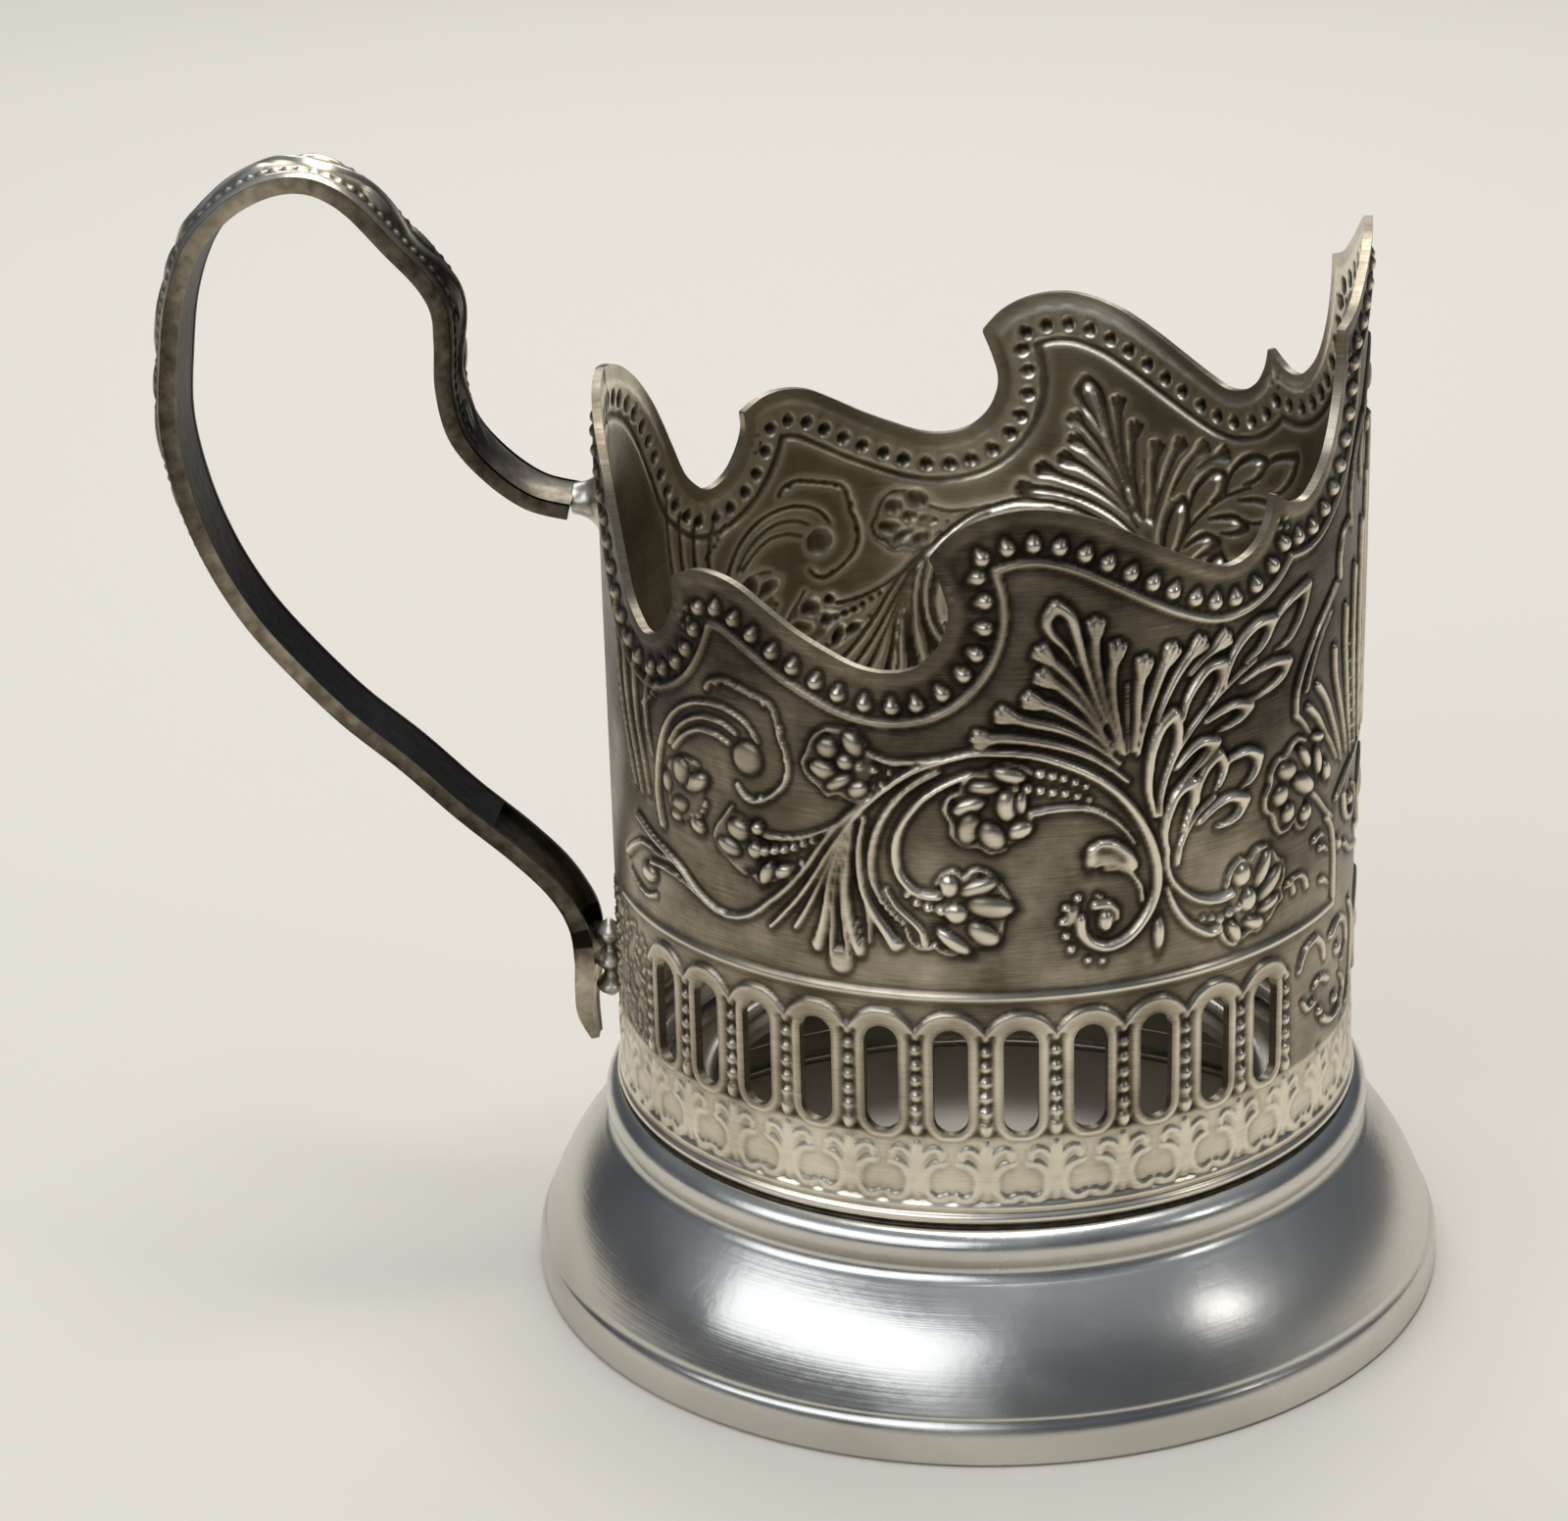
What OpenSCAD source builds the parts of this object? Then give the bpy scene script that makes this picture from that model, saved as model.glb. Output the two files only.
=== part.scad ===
// Tea glass holder: a pierced and stamped sheet cylinder with a wavy crown, on a spun foot,
// with a hollow strap handle. Millimetres. Origin at the middle of the foot's resting face,
// +Z up, the crown's tall tip towards +X, the handle towards -X, mirror plane at Y = 0.

/* [Glass bore] */
// Inner diameter of the body, the space that the tea glass drops into
bore_d = 68.4; // [62:0.1:76]
// Thickness of the body sheet
body_wall = 0.8; // [0.6:0.05:1.2]
// Thickness of the ring that backs the shelf that the glass stands on
ring_t = 1; // [0.8:0.1:1.6]
// Diameter of the hole in that ring
ring_hole_d = 52; // [40:0.5:56]
// Depth of the turned-down edge round that hole
ring_edge_h = 2.4; // [1.6:0.1:4]

/* [Crown] */
// Height of the lowest dip of the rim above the table
rim_low_h = 70.3; // [62:0.1:76]
// Height of the tall tip of the rim above the table
rim_tip_h = 102.8; // [96:0.1:112]

/* [Pierced band] */
// Number of slots on each side of the body
slots_a_side = 11; // [5:2:11]
// Width of one slot
slot_w = 3.1; // [2:0.1:3.8]
// Height of one slot
slot_h = 10.2; // [8:0.1:11.2]
// Height of the slots' middles above the table
slot_mid_h = 33.7; // [32.5:0.1:34.2]
// How far the ring line stands out of the sheet
relief_h = 0.35; // [0.2:0.05:0.5]
// Height of the ring line above the slots, above the table
ring_line_h = 42; // [41.7:0.1:44]
// Width of the ring line
ring_line_w = 1.1; // [0.8:0.05:1.4]

/* [Foot] */
// Height of the foot, where the body stands on it
foot_h = 19.4; // [18.4:0.1:20.4]
// Largest radius of the foot, at its skirt
foot_r = 43.8; // [42:0.1:50]
// Height of the upright skirt at the foot's edge
skirt_h = 4.2; // [3:0.1:6]
// Height of the half-round moulding at the foot's top
moulding_h = 4; // [3.6:0.1:4.4]
// How far the half-round moulding stands out past the body
moulding_out = 1.75; // [1.6:0.05:2.4]
// Thickness of the foot's sheet
foot_wall = 0.8; // [0.6:0.05:1]
// Width of the shelf that the body and the glass stand on
shelf_w = 4; // [3:0.1:5]

/* [Handle] */
// How far the middle of the strap reaches out from the body
handle_reach = 40; // [34:0.5:48]
// Height of the strap's middle at the top of the handle, above the table
handle_top_h = 106.5; // [100:0.5:114]
// Height of the handle's curled tail above the table
handle_tail_h = 20.7; // [20.4:0.1:24]
// Width of the strap
strap_w = 7; // [6:0.1:9]
// Depth of the strap's folded-down edges
strap_edge_h = 1.9; // [1.5:0.1:2.4]
// How far the strap's outer face is domed at the top of the handle
strap_crown_h = 1.3; // [0.8:0.05:1.6]
// Thickness of the strap's sheet
strap_wall = 0.5; // [0.4:0.05:0.55]
// Thickness of the plain strip that closes the strap's hollow side
back_t = 0.4; // [0.3:0.05:0.5]

/* [Solder] */
// Width of the soldered seam in the body sheet, under the handle
seam_w = 0.4; // [0.3:0.05:0.8]
// Radius of the solder at the handle's upper end, where it meets the body
upper_solder_r = 3.9; // [2.8:0.1:4.4]
// Width of the solder at the handle's lower end
lower_solder_w = 4; // [3:0.1:5]
// Height of the solder at the handle's lower end
lower_solder_h = 8.6; // [7:0.1:10]

/* [Hidden] */
$fn = 96;

// How far every cutting shape runs past the surface that it cuts
overrun = 2;
// Gap between pieces that are pushed together and don't have to touch all over
seat_gap = 0.1;

body_r = bore_d / 2 + body_wall;
crown_h = rim_tip_h - rim_low_h;
sheet_top_h = rim_tip_h;
cut_top_h = rim_tip_h + overrun;

// Angle between neighbouring slots, and the turn from the tip to the middle slot
slot_pitch_turn = 10.15;
slot_mid_turn = 91;

// Two ridges round the body's lower edge
hoop_r = 0.6;
hoop_step_h = 0.9;
hoop_h = foot_h + hoop_step_h;
thin_hoop_r = 0.4;
thin_hoop_step_h = 2.05;
thin_hoop_h = foot_h + thin_hoop_step_h;

// The rim from the tip (turn 0) to the handle (turn 180), as turns in degrees and shares of
// the crown's height. Each list is the smooth stretch of one valley, from cusp to cusp.
tip_shares = [[0, 1.006], [4, 0.975], [8, 0.935], [13, 0.87], [17, 0.82], [21.8, 0.79]];
notch_shares = [[21.8, 0.79], [21.9, 0.715], [22.8, 0.62], [24.4, 0.535], [26.5, 0.465],
                [29.5, 0.41], [32.5, 0.38], [35.5, 0.382], [38, 0.403], [40.2, 0.43]];
great_shares = [[40.2, 0.43], [40.9, 0.372], [42.6, 0.317], [45.5, 0.28], [49.2, 0.268],
                [53.5, 0.295], [58.5, 0.342], [64, 0.4], [70, 0.458], [76, 0.492],
                [81, 0.496], [86, 0.474], [90, 0.432], [93.1, 0.37]];
small_shares = [[93.1, 0.37], [91.6, 0.3], [90.6, 0.23], [91, 0.17], [92.6, 0.11],
                [95.5, 0.065], [99.5, 0.049], [103.6, 0.058], [108, 0.09], [113, 0.133],
                [118, 0.185], [122.8, 0.23], [127.5, 0.246], [131.7, 0.238],
                [135.8, 0.203]];
back_shares = [[135.8, 0.203], [135.6, 0.15], [136.8, 0.09], [139, 0.034], [141.8, 0.004],
               [144.6, 0], [147.5, 0.034], [150, 0.083], [152.7, 0.175], [155.5, 0.267],
               [158.5, 0.348], [162.6, 0.427], [167.6, 0.49], [173.4, 0.534],
               [180.4, 0.559]];
// Each valley with the turn that its cut looks along, for one side of the body
rim_valleys = [
    [tip_shares, 11], [notch_shares, 31], [great_shares, 67], [small_shares, 113],
    [back_shares, 158]];
// Each cut starts this far before its first cusp, so that it blunts the tooth there, and past
// its cusps it widens by the spread over the height below, so that neighbouring cuts cross
cut_bite_w = 0.15;
cut_spread_w = 0.4;
cut_spread_h = 3;

// One point of a smooth curve through four neighbours, at share t between the middle two
function curve_point(a, b, c, d, t) =
    0.5 * (2 * b + (c - a) * t + (2 * a - 5 * b + 4 * c - d) * t * t
           + (3 * b - a - 3 * c + d) * t * t * t);

// A smooth curve through all the points of a list, with some steps between each pair
function smooth(points, steps) = let (last = len(points) - 1) last < 1 ? points : concat(
    [for (i = [0 : last - 1], k = [0 : steps - 1])
        curve_point(points[max(i - 1, 0)], points[i], points[i + 1],
                    points[min(i + 2, last)], k / steps)],
    [points[last]]);

// The closed outline of a wall: the points, and the same points moved in by its thickness
function edge_way(points, i) = let (
    last = len(points) - 1,
    way = points[min(i + 1, last)] - points[max(i - 1, 0)]) way / norm(way);
function wall_outline(points, t) = concat(points, [for (i = [len(points) - 1 : -1 : 0])
    let (way = edge_way(points, i)) points[i] + t * [way[1], -way[0]]]);

module tube(outer_r, inner_r, low, high) {
    difference() {
        translate([0, 0, low]) cylinder(r = outer_r, h = high - low);
        translate([0, 0, low - overrun]) cylinder(r = inner_r, h = high - low + 2 * overrun);
    }
}

// The cuts reach inwards to this share of the body's radius
cut_depth_share = 0.7;

// What is cut away above one valley of the rim, squarely through the sheet at its middle
module rim_cut(valley) {
    centre_turn = valley[1];
    curve = [for (p = smooth(valley[0], 2))
        [body_r * sin(p[0] - centre_turn), rim_low_h + p[1] * crown_h]];
    outline = concat([curve[0] - [cut_bite_w, 0]], [for (i = [1 : len(curve) - 1]) curve[i]]);
    left = outline[0] + [-cut_spread_w, cut_spread_h];
    right = outline[len(outline) - 1] + [cut_spread_w, cut_spread_h];
    top = cut_top_h + cut_spread_h;
    closed = concat([[left[0], top], left], outline, [right, [right[0], top]]);
    rotate([0, 0, centre_turn]) translate([body_r * cut_depth_share, 0, 0])
        rotate([90, 0, 90])
            linear_extrude(height = body_r * (1 - cut_depth_share) + overrun) polygon(closed);
}

// Its children with the first valleys of the rim cut out of them, on both sides
module with_rim(valleys) {
    if (valleys == 0)
        children();
    else
        difference() {
            difference() {
                with_rim(valleys - 1) children();
                rim_cut(rim_valleys[valleys - 1]);
            }
            mirror([0, 1, 0]) rim_cut(rim_valleys[valleys - 1]);
        }
}

module slot_outline() {
    square([slot_w, slot_h - slot_w], center = true);
    translate([0, (slot_h - slot_w) / 2]) circle(d = slot_w);
    translate([0, (slot_w - slot_h) / 2]) circle(d = slot_w);
}

// Stands its children upright on the body at every slot, facing outwards
module at_each_slot(mid_h) {
    reach = (slots_a_side - 1) / 2;
    for (side = [-1, 1], i = [-reach : reach])
        rotate([0, 0, side * (slot_mid_turn + i * slot_pitch_turn)])
            translate([body_r - overrun, 0, mid_h]) rotate([90, 0, 90]) children();
}

// The outline of a ridge that runs round the body, as radius and height
function ridge(mid_h, out, half_h) = [for (turn = [-90 : 30 : 90])
    [body_r + out * cos(turn), mid_h + half_h * sin(turn)]];

// The sheet rolled to a cylinder, with the ridges that run round it
module sheet_blank() {
    rotate_extrude() polygon(concat(
        [[bore_d / 2, foot_h], [body_r, foot_h]],
        ridge(hoop_h, hoop_r, hoop_r),
        ridge(thin_hoop_h, thin_hoop_r, thin_hoop_r),
        ridge(ring_line_h, relief_h, ring_line_w / 2),
        [[body_r, sheet_top_h], [bore_d / 2, sheet_top_h]]));
}

module seam_slit() {
    translate([-body_r - overrun, -seam_w / 2, foot_h - overrun])
        cube([2 * overrun, seam_w, cut_top_h]);
}

// The stamped and pierced sheet: crown, ring line, slots and lower ridges
module body_sheet() {
    color("rosybrown") with_rim(len(rim_valleys)) difference() {
        sheet_blank();
        at_each_slot(slot_mid_h) linear_extrude(height = 2 * overrun) slot_outline();
        seam_slit();
    }
}

// The line of solder that closes the sheet's butt seam under the handle
module seam_solder() {
    color("silver") with_rim(len(rim_valleys)) intersection() {
        tube(body_r, bore_d / 2, foot_h, sheet_top_h);
        seam_slit();
    }
}

// The foot's outside from the shelf out and down to the table, as radius and height
moulding_r = moulding_h / 2;
moulding_centre = [body_r + moulding_out - moulding_r, foot_h - moulding_r];
groove_out_w = 1.15;
groove_drop_h = 0.2;
groove = [moulding_centre[0] + groove_out_w, foot_h - moulding_h - groove_drop_h];
// From the groove to the slope's top, and from the slope's low end to the skirt's top
slope_start_w = 0.9;
slope_start_h = 0.7;
slope_end_w = 0.65;
slope_end_h = 0.3;
slope_top = groove + [slope_start_w, -slope_start_h];
slope_low = [foot_r - slope_end_w, skirt_h + slope_end_h];
slope_bulge_h = 0.7;
skirt_step_w = 0.35;
foot_edge_w = 0.9;
foot_edge_r = 0.45;

slope_way = slope_low - slope_top;
slope_out = [-slope_way[1], slope_way[0]] / norm(slope_way);

function foot_outside() = concat(
    [[body_r - shelf_w, foot_h]],
    [for (turn = [90 : -12 : -42])
        moulding_centre + moulding_r * [cos(turn), sin(turn)]],
    [groove],
    [for (share = [0 : 0.125 : 1])
        slope_top + share * slope_way + slope_bulge_h * sin(180 * share) * slope_out],
    [[slope_low[0], skirt_h]],
    [for (share = [0 : 0.25 : 1])
        [foot_r - skirt_step_w * pow(1 - share, 2), skirt_h - skirt_step_w * (1 + 4 * share)]],
    [[foot_r - foot_edge_r / 3, foot_edge_r],
     [foot_r - foot_edge_r, 0],
     [foot_r - foot_edge_r - foot_edge_w, 0]]);

// The spun foot: half-round moulding, swelling slope and upright skirt with a turned-in edge
module foot() {
    color("lightsteelblue") rotate_extrude()
        polygon(wall_outline(foot_outside(), foot_wall));
}

// The fillet of solder in the recess between the body's lower edge and the foot
fillet_w = 0.45;
module foot_solder() {
    fillet_h = hoop_h - hoop_r - foot_h;
    color("silver") rotate_extrude() polygon([
        [body_r, foot_h],
        [body_r + fillet_w, foot_h],
        [body_r, foot_h + fillet_h]]);
}

// The flat ring under the foot's shelf, with a turned-down inner edge
module backing_ring() {
    outer_r = bore_d / 2 - seat_gap;
    hole_r = ring_hole_d / 2;
    top_h = foot_h - foot_wall;
    low_h = top_h - ring_t;
    color("silver") rotate_extrude() polygon([
        [hole_r, top_h],
        [outer_r, top_h],
        [outer_r, low_h],
        [hole_r + ring_t, low_h],
        [hole_r + ring_t, low_h - ring_edge_h],
        [hole_r, low_h - ring_edge_h]]);
}

// The strap's middle line from the body's side of the upper joint round to the tail, as
// shares of the reach and of the height from the tail up to the top
strap_shares = [
    [0.067, 0.642], [0.158, 0.653], [0.246, 0.683], [0.315, 0.724], [0.339, 0.775],
    [0.336, 0.826], [0.34, 0.863], [0.375, 0.895], [0.445, 0.931], [0.529, 0.974],
    [0.6, 0.995], [0.67, 1], [0.749, 0.991], [0.832, 0.968], [0.91, 0.929],
    [0.963, 0.868], [0.989, 0.796], [1, 0.724], [0.973, 0.648], [0.92, 0.577],
    [0.846, 0.514], [0.755, 0.46], [0.628, 0.397], [0.492, 0.343], [0.363, 0.286],
    [0.238, 0.236], [0.149, 0.193], [0.099, 0.151], [0.087, 0.108], [0.092, 0.072],
    [0.095, 0.038], [0.076, 0]];
strap_steps = 2;

strap_line = smooth([for (s = strap_shares) [
    -body_r - s[0] * handle_reach,
    handle_tail_h + s[1] * (handle_top_h - handle_tail_h)]], strap_steps);

// Where along the strap its folded edges stop, and how the tail swells and narrows after it
tail_start_share = 0.9;
back_end_share = 0.8;
function tail_share(i) = max(0, (i / (len(strap_line) - 1) - tail_start_share)
                                / (1 - tail_start_share));
function width_share(i) = let (t = tail_share(i)) 1 - 0.75 * t * t * t;
// The dome is highest at the handle's top and flattens towards both ends
crown_end_share = 0.4;
crown_reach_share = 0.75;
function crown_share(i) = let (along = min(1, i / (len(strap_line) - 1) / crown_reach_share))
    crown_end_share + (1 - crown_end_share) * pow(sin(180 * along), 2);
function depth_share(i) = let (t = tail_share(i)) 1 + 0.35 * sin(180 * t) - 0.45 * t * t;

// The strap's section: place across it, place outwards from its middle line, and the share of
// the dome's height that is added to that
half_w = strap_w / 2;
half_edge = strap_edge_h / 2;
inner_half_w = half_w - strap_wall;
fold_h = half_edge - strap_wall / 2;
face_section = [
    [-half_w, -half_edge, 0],
    [-half_w, fold_h, 0],
    [-half_w * 0.88, half_edge, 0.2],
    [-half_w * 0.58, half_edge, 0.68],
    [0, half_edge, 1],
    [half_w * 0.58, half_edge, 0.68],
    [half_w * 0.88, half_edge, 0.2],
    [half_w, fold_h, 0],
    [half_w, -half_edge, 0],
    [inner_half_w, -half_edge, 0],
    [inner_half_w, fold_h - strap_wall, 0],
    [half_w * 0.66, half_edge - strap_wall, 0.2],
    [half_w * 0.42, half_edge - strap_wall, 0.6],
    [0, half_edge - strap_wall, 1],
    [-half_w * 0.42, half_edge - strap_wall, 0.6],
    [-half_w * 0.66, half_edge - strap_wall, 0.2],
    [-inner_half_w, fold_h - strap_wall, 0],
    [-inner_half_w, -half_edge, 0]];
back_half_w = inner_half_w - seat_gap;
back_section = [
    [-back_half_w, -half_edge, 0],
    [-back_half_w, -half_edge + back_t, 0],
    [back_half_w, -half_edge + back_t, 0],
    [back_half_w, -half_edge, 0]];

// One section of the strap, stood square to its middle line at point i
function strap_ring(section, i) = let (
    way = edge_way(strap_line, i),
    out = [way[1], -way[0]],
    w = width_share(i),
    d = depth_share(i),
    crown = strap_crown_h * crown_share(i)) [for (p = section) let (lift = (p[1] + p[2] * crown) * d) [
        strap_line[i][0] + out[0] * lift,
        p[0] * w,
        strap_line[i][1] + out[1] * lift]];

// A closed solid through the strap's sections from point first to point last of its line. The
// section's second half runs back along its first half, so the ends close with four-sided faces.
module strap_solid(section, first, last) {
    n = len(section);
    rings = last - first;
    points = [for (i = [first : last]) each strap_ring(section, i)];
    sides = [for (i = [0 : rings - 1], k = [0 : n - 1])
        let (a = i * n + k, b = i * n + (k + 1) % n)
        each [[b, a, b + n], [b + n, a, a + n]]];
    end_pairs = [for (k = [0 : n / 2 - 2]) [k, k + 1, n - 2 - k, n - 1 - k]];
    near_end = end_pairs;
    far_end = [for (p = end_pairs) [for (k = [3 : -1 : 0]) rings * n + p[k]]];
    polyhedron(points, concat(sides, near_end, far_end), convexity = 10);
}

// The stamped outer channel of the handle, domed outwards, with folded edges
module handle_face() {
    color("tan") strap_solid(face_section, 0, len(strap_line) - 1);
}

// The plain strip that closes the channel's hollow side, down to where it bends to the body
module handle_back() {
    last = floor(back_end_share * (len(strap_line) - 1));
    color("gray") strap_solid(back_section, 1, last);
}

// The trumpet of solder that holds the handle's upper end to the body
module upper_solder() {
    joint_h = strap_line[0][1];
    joint_l = -strap_line[0][0] - body_r - seat_gap;
    color("silver") difference() {
        translate([-body_r, 0, joint_h]) rotate([0, -90, 0]) rotate_extrude() polygon([
            [0, -overrun],
            [upper_solder_r, -overrun],
            [upper_solder_r, 0],
            [upper_solder_r * 0.78, joint_l * 0.12],
            [upper_solder_r * 0.6, joint_l * 0.35],
            [upper_solder_r * 0.5, joint_l * 0.68],
            [upper_solder_r * 0.46, joint_l],
            [0, joint_l]]);
        cylinder(r = body_r, h = sheet_top_h, $fn = 360);
    }
}

// The lumps of solder between the handle's lower end and the body, as middle heights and radii
// in shares of the solder's height
lump_shares = [[0.16, 0.16], [0.47, 0.19], [0.82, 0.18]];
web_share = 0.72;
lower_solder_step_h = 5.4;
lower_solder_low = foot_h + lower_solder_step_h;
// The strap's bend nearest the body is this many points before the end of its line
low_bend_count = 9;
strap_low_x = strap_line[len(strap_line) - low_bend_count][0];

module lower_solder() {
    reach = -strap_low_x - half_edge - body_r - seat_gap;
    web_reach = reach * web_share;
    color("silver") translate([0, 0, lower_solder_low]) difference() {
        translate([-body_r, 0, 0]) rotate([90, 0, 0])
            linear_extrude(height = lower_solder_w, center = true) {
                translate([-web_reach, 0]) square([web_reach + overrun, lower_solder_h]);
                for (lump = lump_shares)
                    translate([lump[1] * lower_solder_h - reach, lump[0] * lower_solder_h])
                        circle(r = lump[1] * lower_solder_h, $fn = 32);
            }
        translate([0, 0, -overrun]) cylinder(r = body_r, h = lower_solder_h + 2 * overrun, $fn = 360);
    }
}

body_sheet();
seam_solder();
foot();
foot_solder();
backing_ring();
handle_face();
handle_back();
upper_solder();
lower_solder();
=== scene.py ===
import math

import bpy
import numpy as np
from mathutils import Matrix, Vector


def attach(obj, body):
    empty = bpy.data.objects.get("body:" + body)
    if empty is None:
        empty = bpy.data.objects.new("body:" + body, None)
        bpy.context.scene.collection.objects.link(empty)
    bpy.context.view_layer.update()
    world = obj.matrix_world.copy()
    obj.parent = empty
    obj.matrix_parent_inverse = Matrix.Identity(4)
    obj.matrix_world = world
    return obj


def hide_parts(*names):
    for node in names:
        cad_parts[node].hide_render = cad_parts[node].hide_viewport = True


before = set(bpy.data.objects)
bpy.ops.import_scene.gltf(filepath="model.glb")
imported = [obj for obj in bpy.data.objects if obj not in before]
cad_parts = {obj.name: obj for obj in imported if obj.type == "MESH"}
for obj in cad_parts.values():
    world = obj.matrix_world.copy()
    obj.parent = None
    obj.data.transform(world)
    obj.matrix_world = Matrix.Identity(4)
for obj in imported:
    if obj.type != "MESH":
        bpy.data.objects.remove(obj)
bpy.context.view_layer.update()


# Body sheet: one sheet of nickel silver, stamped from the back so that the ornament stands
# out on the outside and shows as hollows inside, pierced, and rolled to a cylinder.
# It's drawn as eight upright sectors of both skins, because one mesh would be too heavy.

MM = 0.001  # sizes are in mm until a mesh is made
BODY_R, WALL = 35.0, 0.8  # outside radius and thickness of the sheet
BODY_LOW, RIM_LOW, CROWN = 19.4, 70.3, 32.5  # lower edge, rim's lowest place, height over that
HALF_TURN_MM = math.pi * BODY_R
SEAM_HALF = 0.2
CELL = 0.215  # side of a cell of the grid on which the relief is drawn

# The rim from the tall tip round to the handle: turn from the tip in degrees, and share of
# the crown's height. The repeated turns are the cusps.
RIM = [
    (0, 1), (4, 0.975), (8, 0.935), (13, 0.87), (17, 0.82), (21.8, 0.79), None,
    (21.8, 0.79), (21.9, 0.715), (22.8, 0.62), (24.4, 0.535), (26.5, 0.465), (29.5, 0.41),
    (32.5, 0.38), (35.5, 0.382), (38, 0.403), (40.2, 0.43), None,
    (40.2, 0.43), (40.9, 0.372), (42.6, 0.317), (45.5, 0.28), (49.2, 0.268), (53.5, 0.295),
    (58.5, 0.342), (64, 0.4), (70, 0.458), (76, 0.492), (81, 0.496), (86, 0.474),
    (90, 0.432), (93.1, 0.37), None,
    (93.1, 0.37), (91.6, 0.3), (90.6, 0.23), (91, 0.17), (92.6, 0.11), (95.5, 0.065),
    (99.5, 0.049), (103.6, 0.058), (108, 0.09), (113, 0.133), (118, 0.185), (122.8, 0.23),
    (127.5, 0.246), (131.7, 0.238), (135.8, 0.203), None,
    (135.8, 0.203), (135.6, 0.15), (136.8, 0.09), (139, 0.034), (141.8, 0.004), (144.6, 0),
    (147.5, 0.034), (150, 0.083), (152.7, 0.175), (155.5, 0.267), (158.5, 0.348),
    (162.6, 0.427), (167.6, 0.49), (173.4, 0.534), (180, 0.557),
]


def smooth(points, steps):
    """A curve through all the points: between two of them it is the cubic whose slope at each
    end is half the way from the point before to the point after."""
    p = np.asarray(points, float)
    before = np.vstack([p[:1], p[:-1]])[: len(p) - 1]
    after = np.vstack([p[1:], p[-1:]])[1:]
    t = np.linspace(0, 1, steps, endpoint=False)[None, :, None]
    p0, p1, p2, p3 = before[:, None], p[:-1, None], p[1:, None], after[:, None]
    cubic = 0.5 * (2 * p1 + (p2 - p0) * t + (2 * p0 - 5 * p1 + 4 * p2 - p3) * t**2
                   + (3 * p1 - p0 - 3 * p2 + p3) * t**3)
    return np.vstack([cubic.reshape(-1, p.shape[1]), p[-1:]])


TIP_PIECE, BACK_PIECE = 15, 90  # mm of arc: the end pieces that are mirrored


def rim_line():
    """The rim as (arc mm, height mm). The piece up to TIP_PIECE is mirrored before its start
    and the piece from BACK_PIECE on after its end."""
    runs, run = [], []
    for row in RIM + [None]:
        if row is None:
            arcs = [(math.radians(t) * BODY_R, RIM_LOW + k * CROWN) for t, k in run]
            runs.append(smooth(arcs, 10))
            run = []
        else:
            run.append(row)
    line = np.vstack(runs)
    tip = line[line[:, 0] < TIP_PIECE][::-1] * [-1, 1]
    back = line[line[:, 0] > BACK_PIECE][::-1] * [-1, 1] + [2 * HALF_TURN_MM, 0]
    return np.vstack([tip[:-1], line, back[1:]])


rim = rim_line()


def nearest(points, line):
    """For every point the nearest place on a line of straight pieces, and how far along it
    that place is. It goes piece by piece and keeps the best so far."""
    best = np.full(len(points), 1e9)
    place = np.zeros_like(points)
    along = np.zeros(len(points))
    run = 0.0
    for a, b in zip(line[:-1], line[1:]):
        way = b - a
        size = float(np.hypot(*way))
        if size < 1e-9:
            continue
        t = np.clip(((points - a) @ way) / size**2, 0, 1)
        q = a + t[:, None] * way
        d = np.hypot(*(points - q).T)
        closer = d < best
        best[closer], place[closer] = d[closer], q[closer]
        along[closer] = run + t[closer] * size
        run += size
    return best, place, along


def under(points, line):
    """True where an upward ray from the point crosses the line an odd number of times: below
    an open line that spans the whole width, or within a closed one."""
    inside = np.zeros(len(points), bool)
    for a, b in zip(line[:-1], line[1:]):
        if a[0] == b[0]:
            continue
        span = (points[:, 0] >= min(a[0], b[0])) & (points[:, 0] < max(a[0], b[0]))
        z = a[1] + (points[:, 0] - a[0]) * (b[1] - a[1]) / (b[0] - a[0])
        inside ^= span & (z > points[:, 1])
    return inside


SLOT_W, SLOT_H, SLOT_MID = 3.1, 10.2, 33.7
SLOT_TURN, SLOTS_AT = 10.15, 91  # degrees from slot to slot, and where the middle one is
SLOT_ARCS = np.radians(SLOTS_AT + SLOT_TURN * np.arange(-5, 6)) * BODY_R
SLOT_PITCH = math.radians(SLOT_TURN) * BODY_R


def slot_distance(s, z):
    """Distance outside the nearest slot's edge: a slot is a straight line with round ends."""
    s0 = SLOT_ARCS[np.abs(s[..., None] - SLOT_ARCS).argmin(-1)]
    reach = (SLOT_H - SLOT_W) / 2
    zc = np.clip(z, SLOT_MID - reach, SLOT_MID + reach)
    return np.hypot(s - s0, z - zc) - SLOT_W / 2, s0, zc


# The grid of arc and height. Below RIM_ZONE the rim is so far that FAR_IN stands for the way.
GRID_TOP, RIM_ZONE, FAR_IN = 103.4, 64, 30.0
s_axis = np.linspace(0, HALF_TURN_MM - SEAM_HALF, int(HALF_TURN_MM / CELL))
z_axis = np.arange(BODY_LOW, GRID_TOP, CELL)
S, Z = np.meshgrid(s_axis, z_axis, indexing="ij")
flat = np.stack([S.ravel(), Z.ravel()], 1)
near_rim = Z.ravel() > RIM_ZONE
rim_d = np.full(S.size, FAR_IN)
rim_place = flat.copy()
d, place, _ = nearest(flat[near_rim], rim)
inside = under(flat[near_rim], rim)
rim_d[near_rim] = np.where(inside, d, -d)
rim_place[near_rim] = place
rim_d = rim_d.reshape(S.shape)

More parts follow.
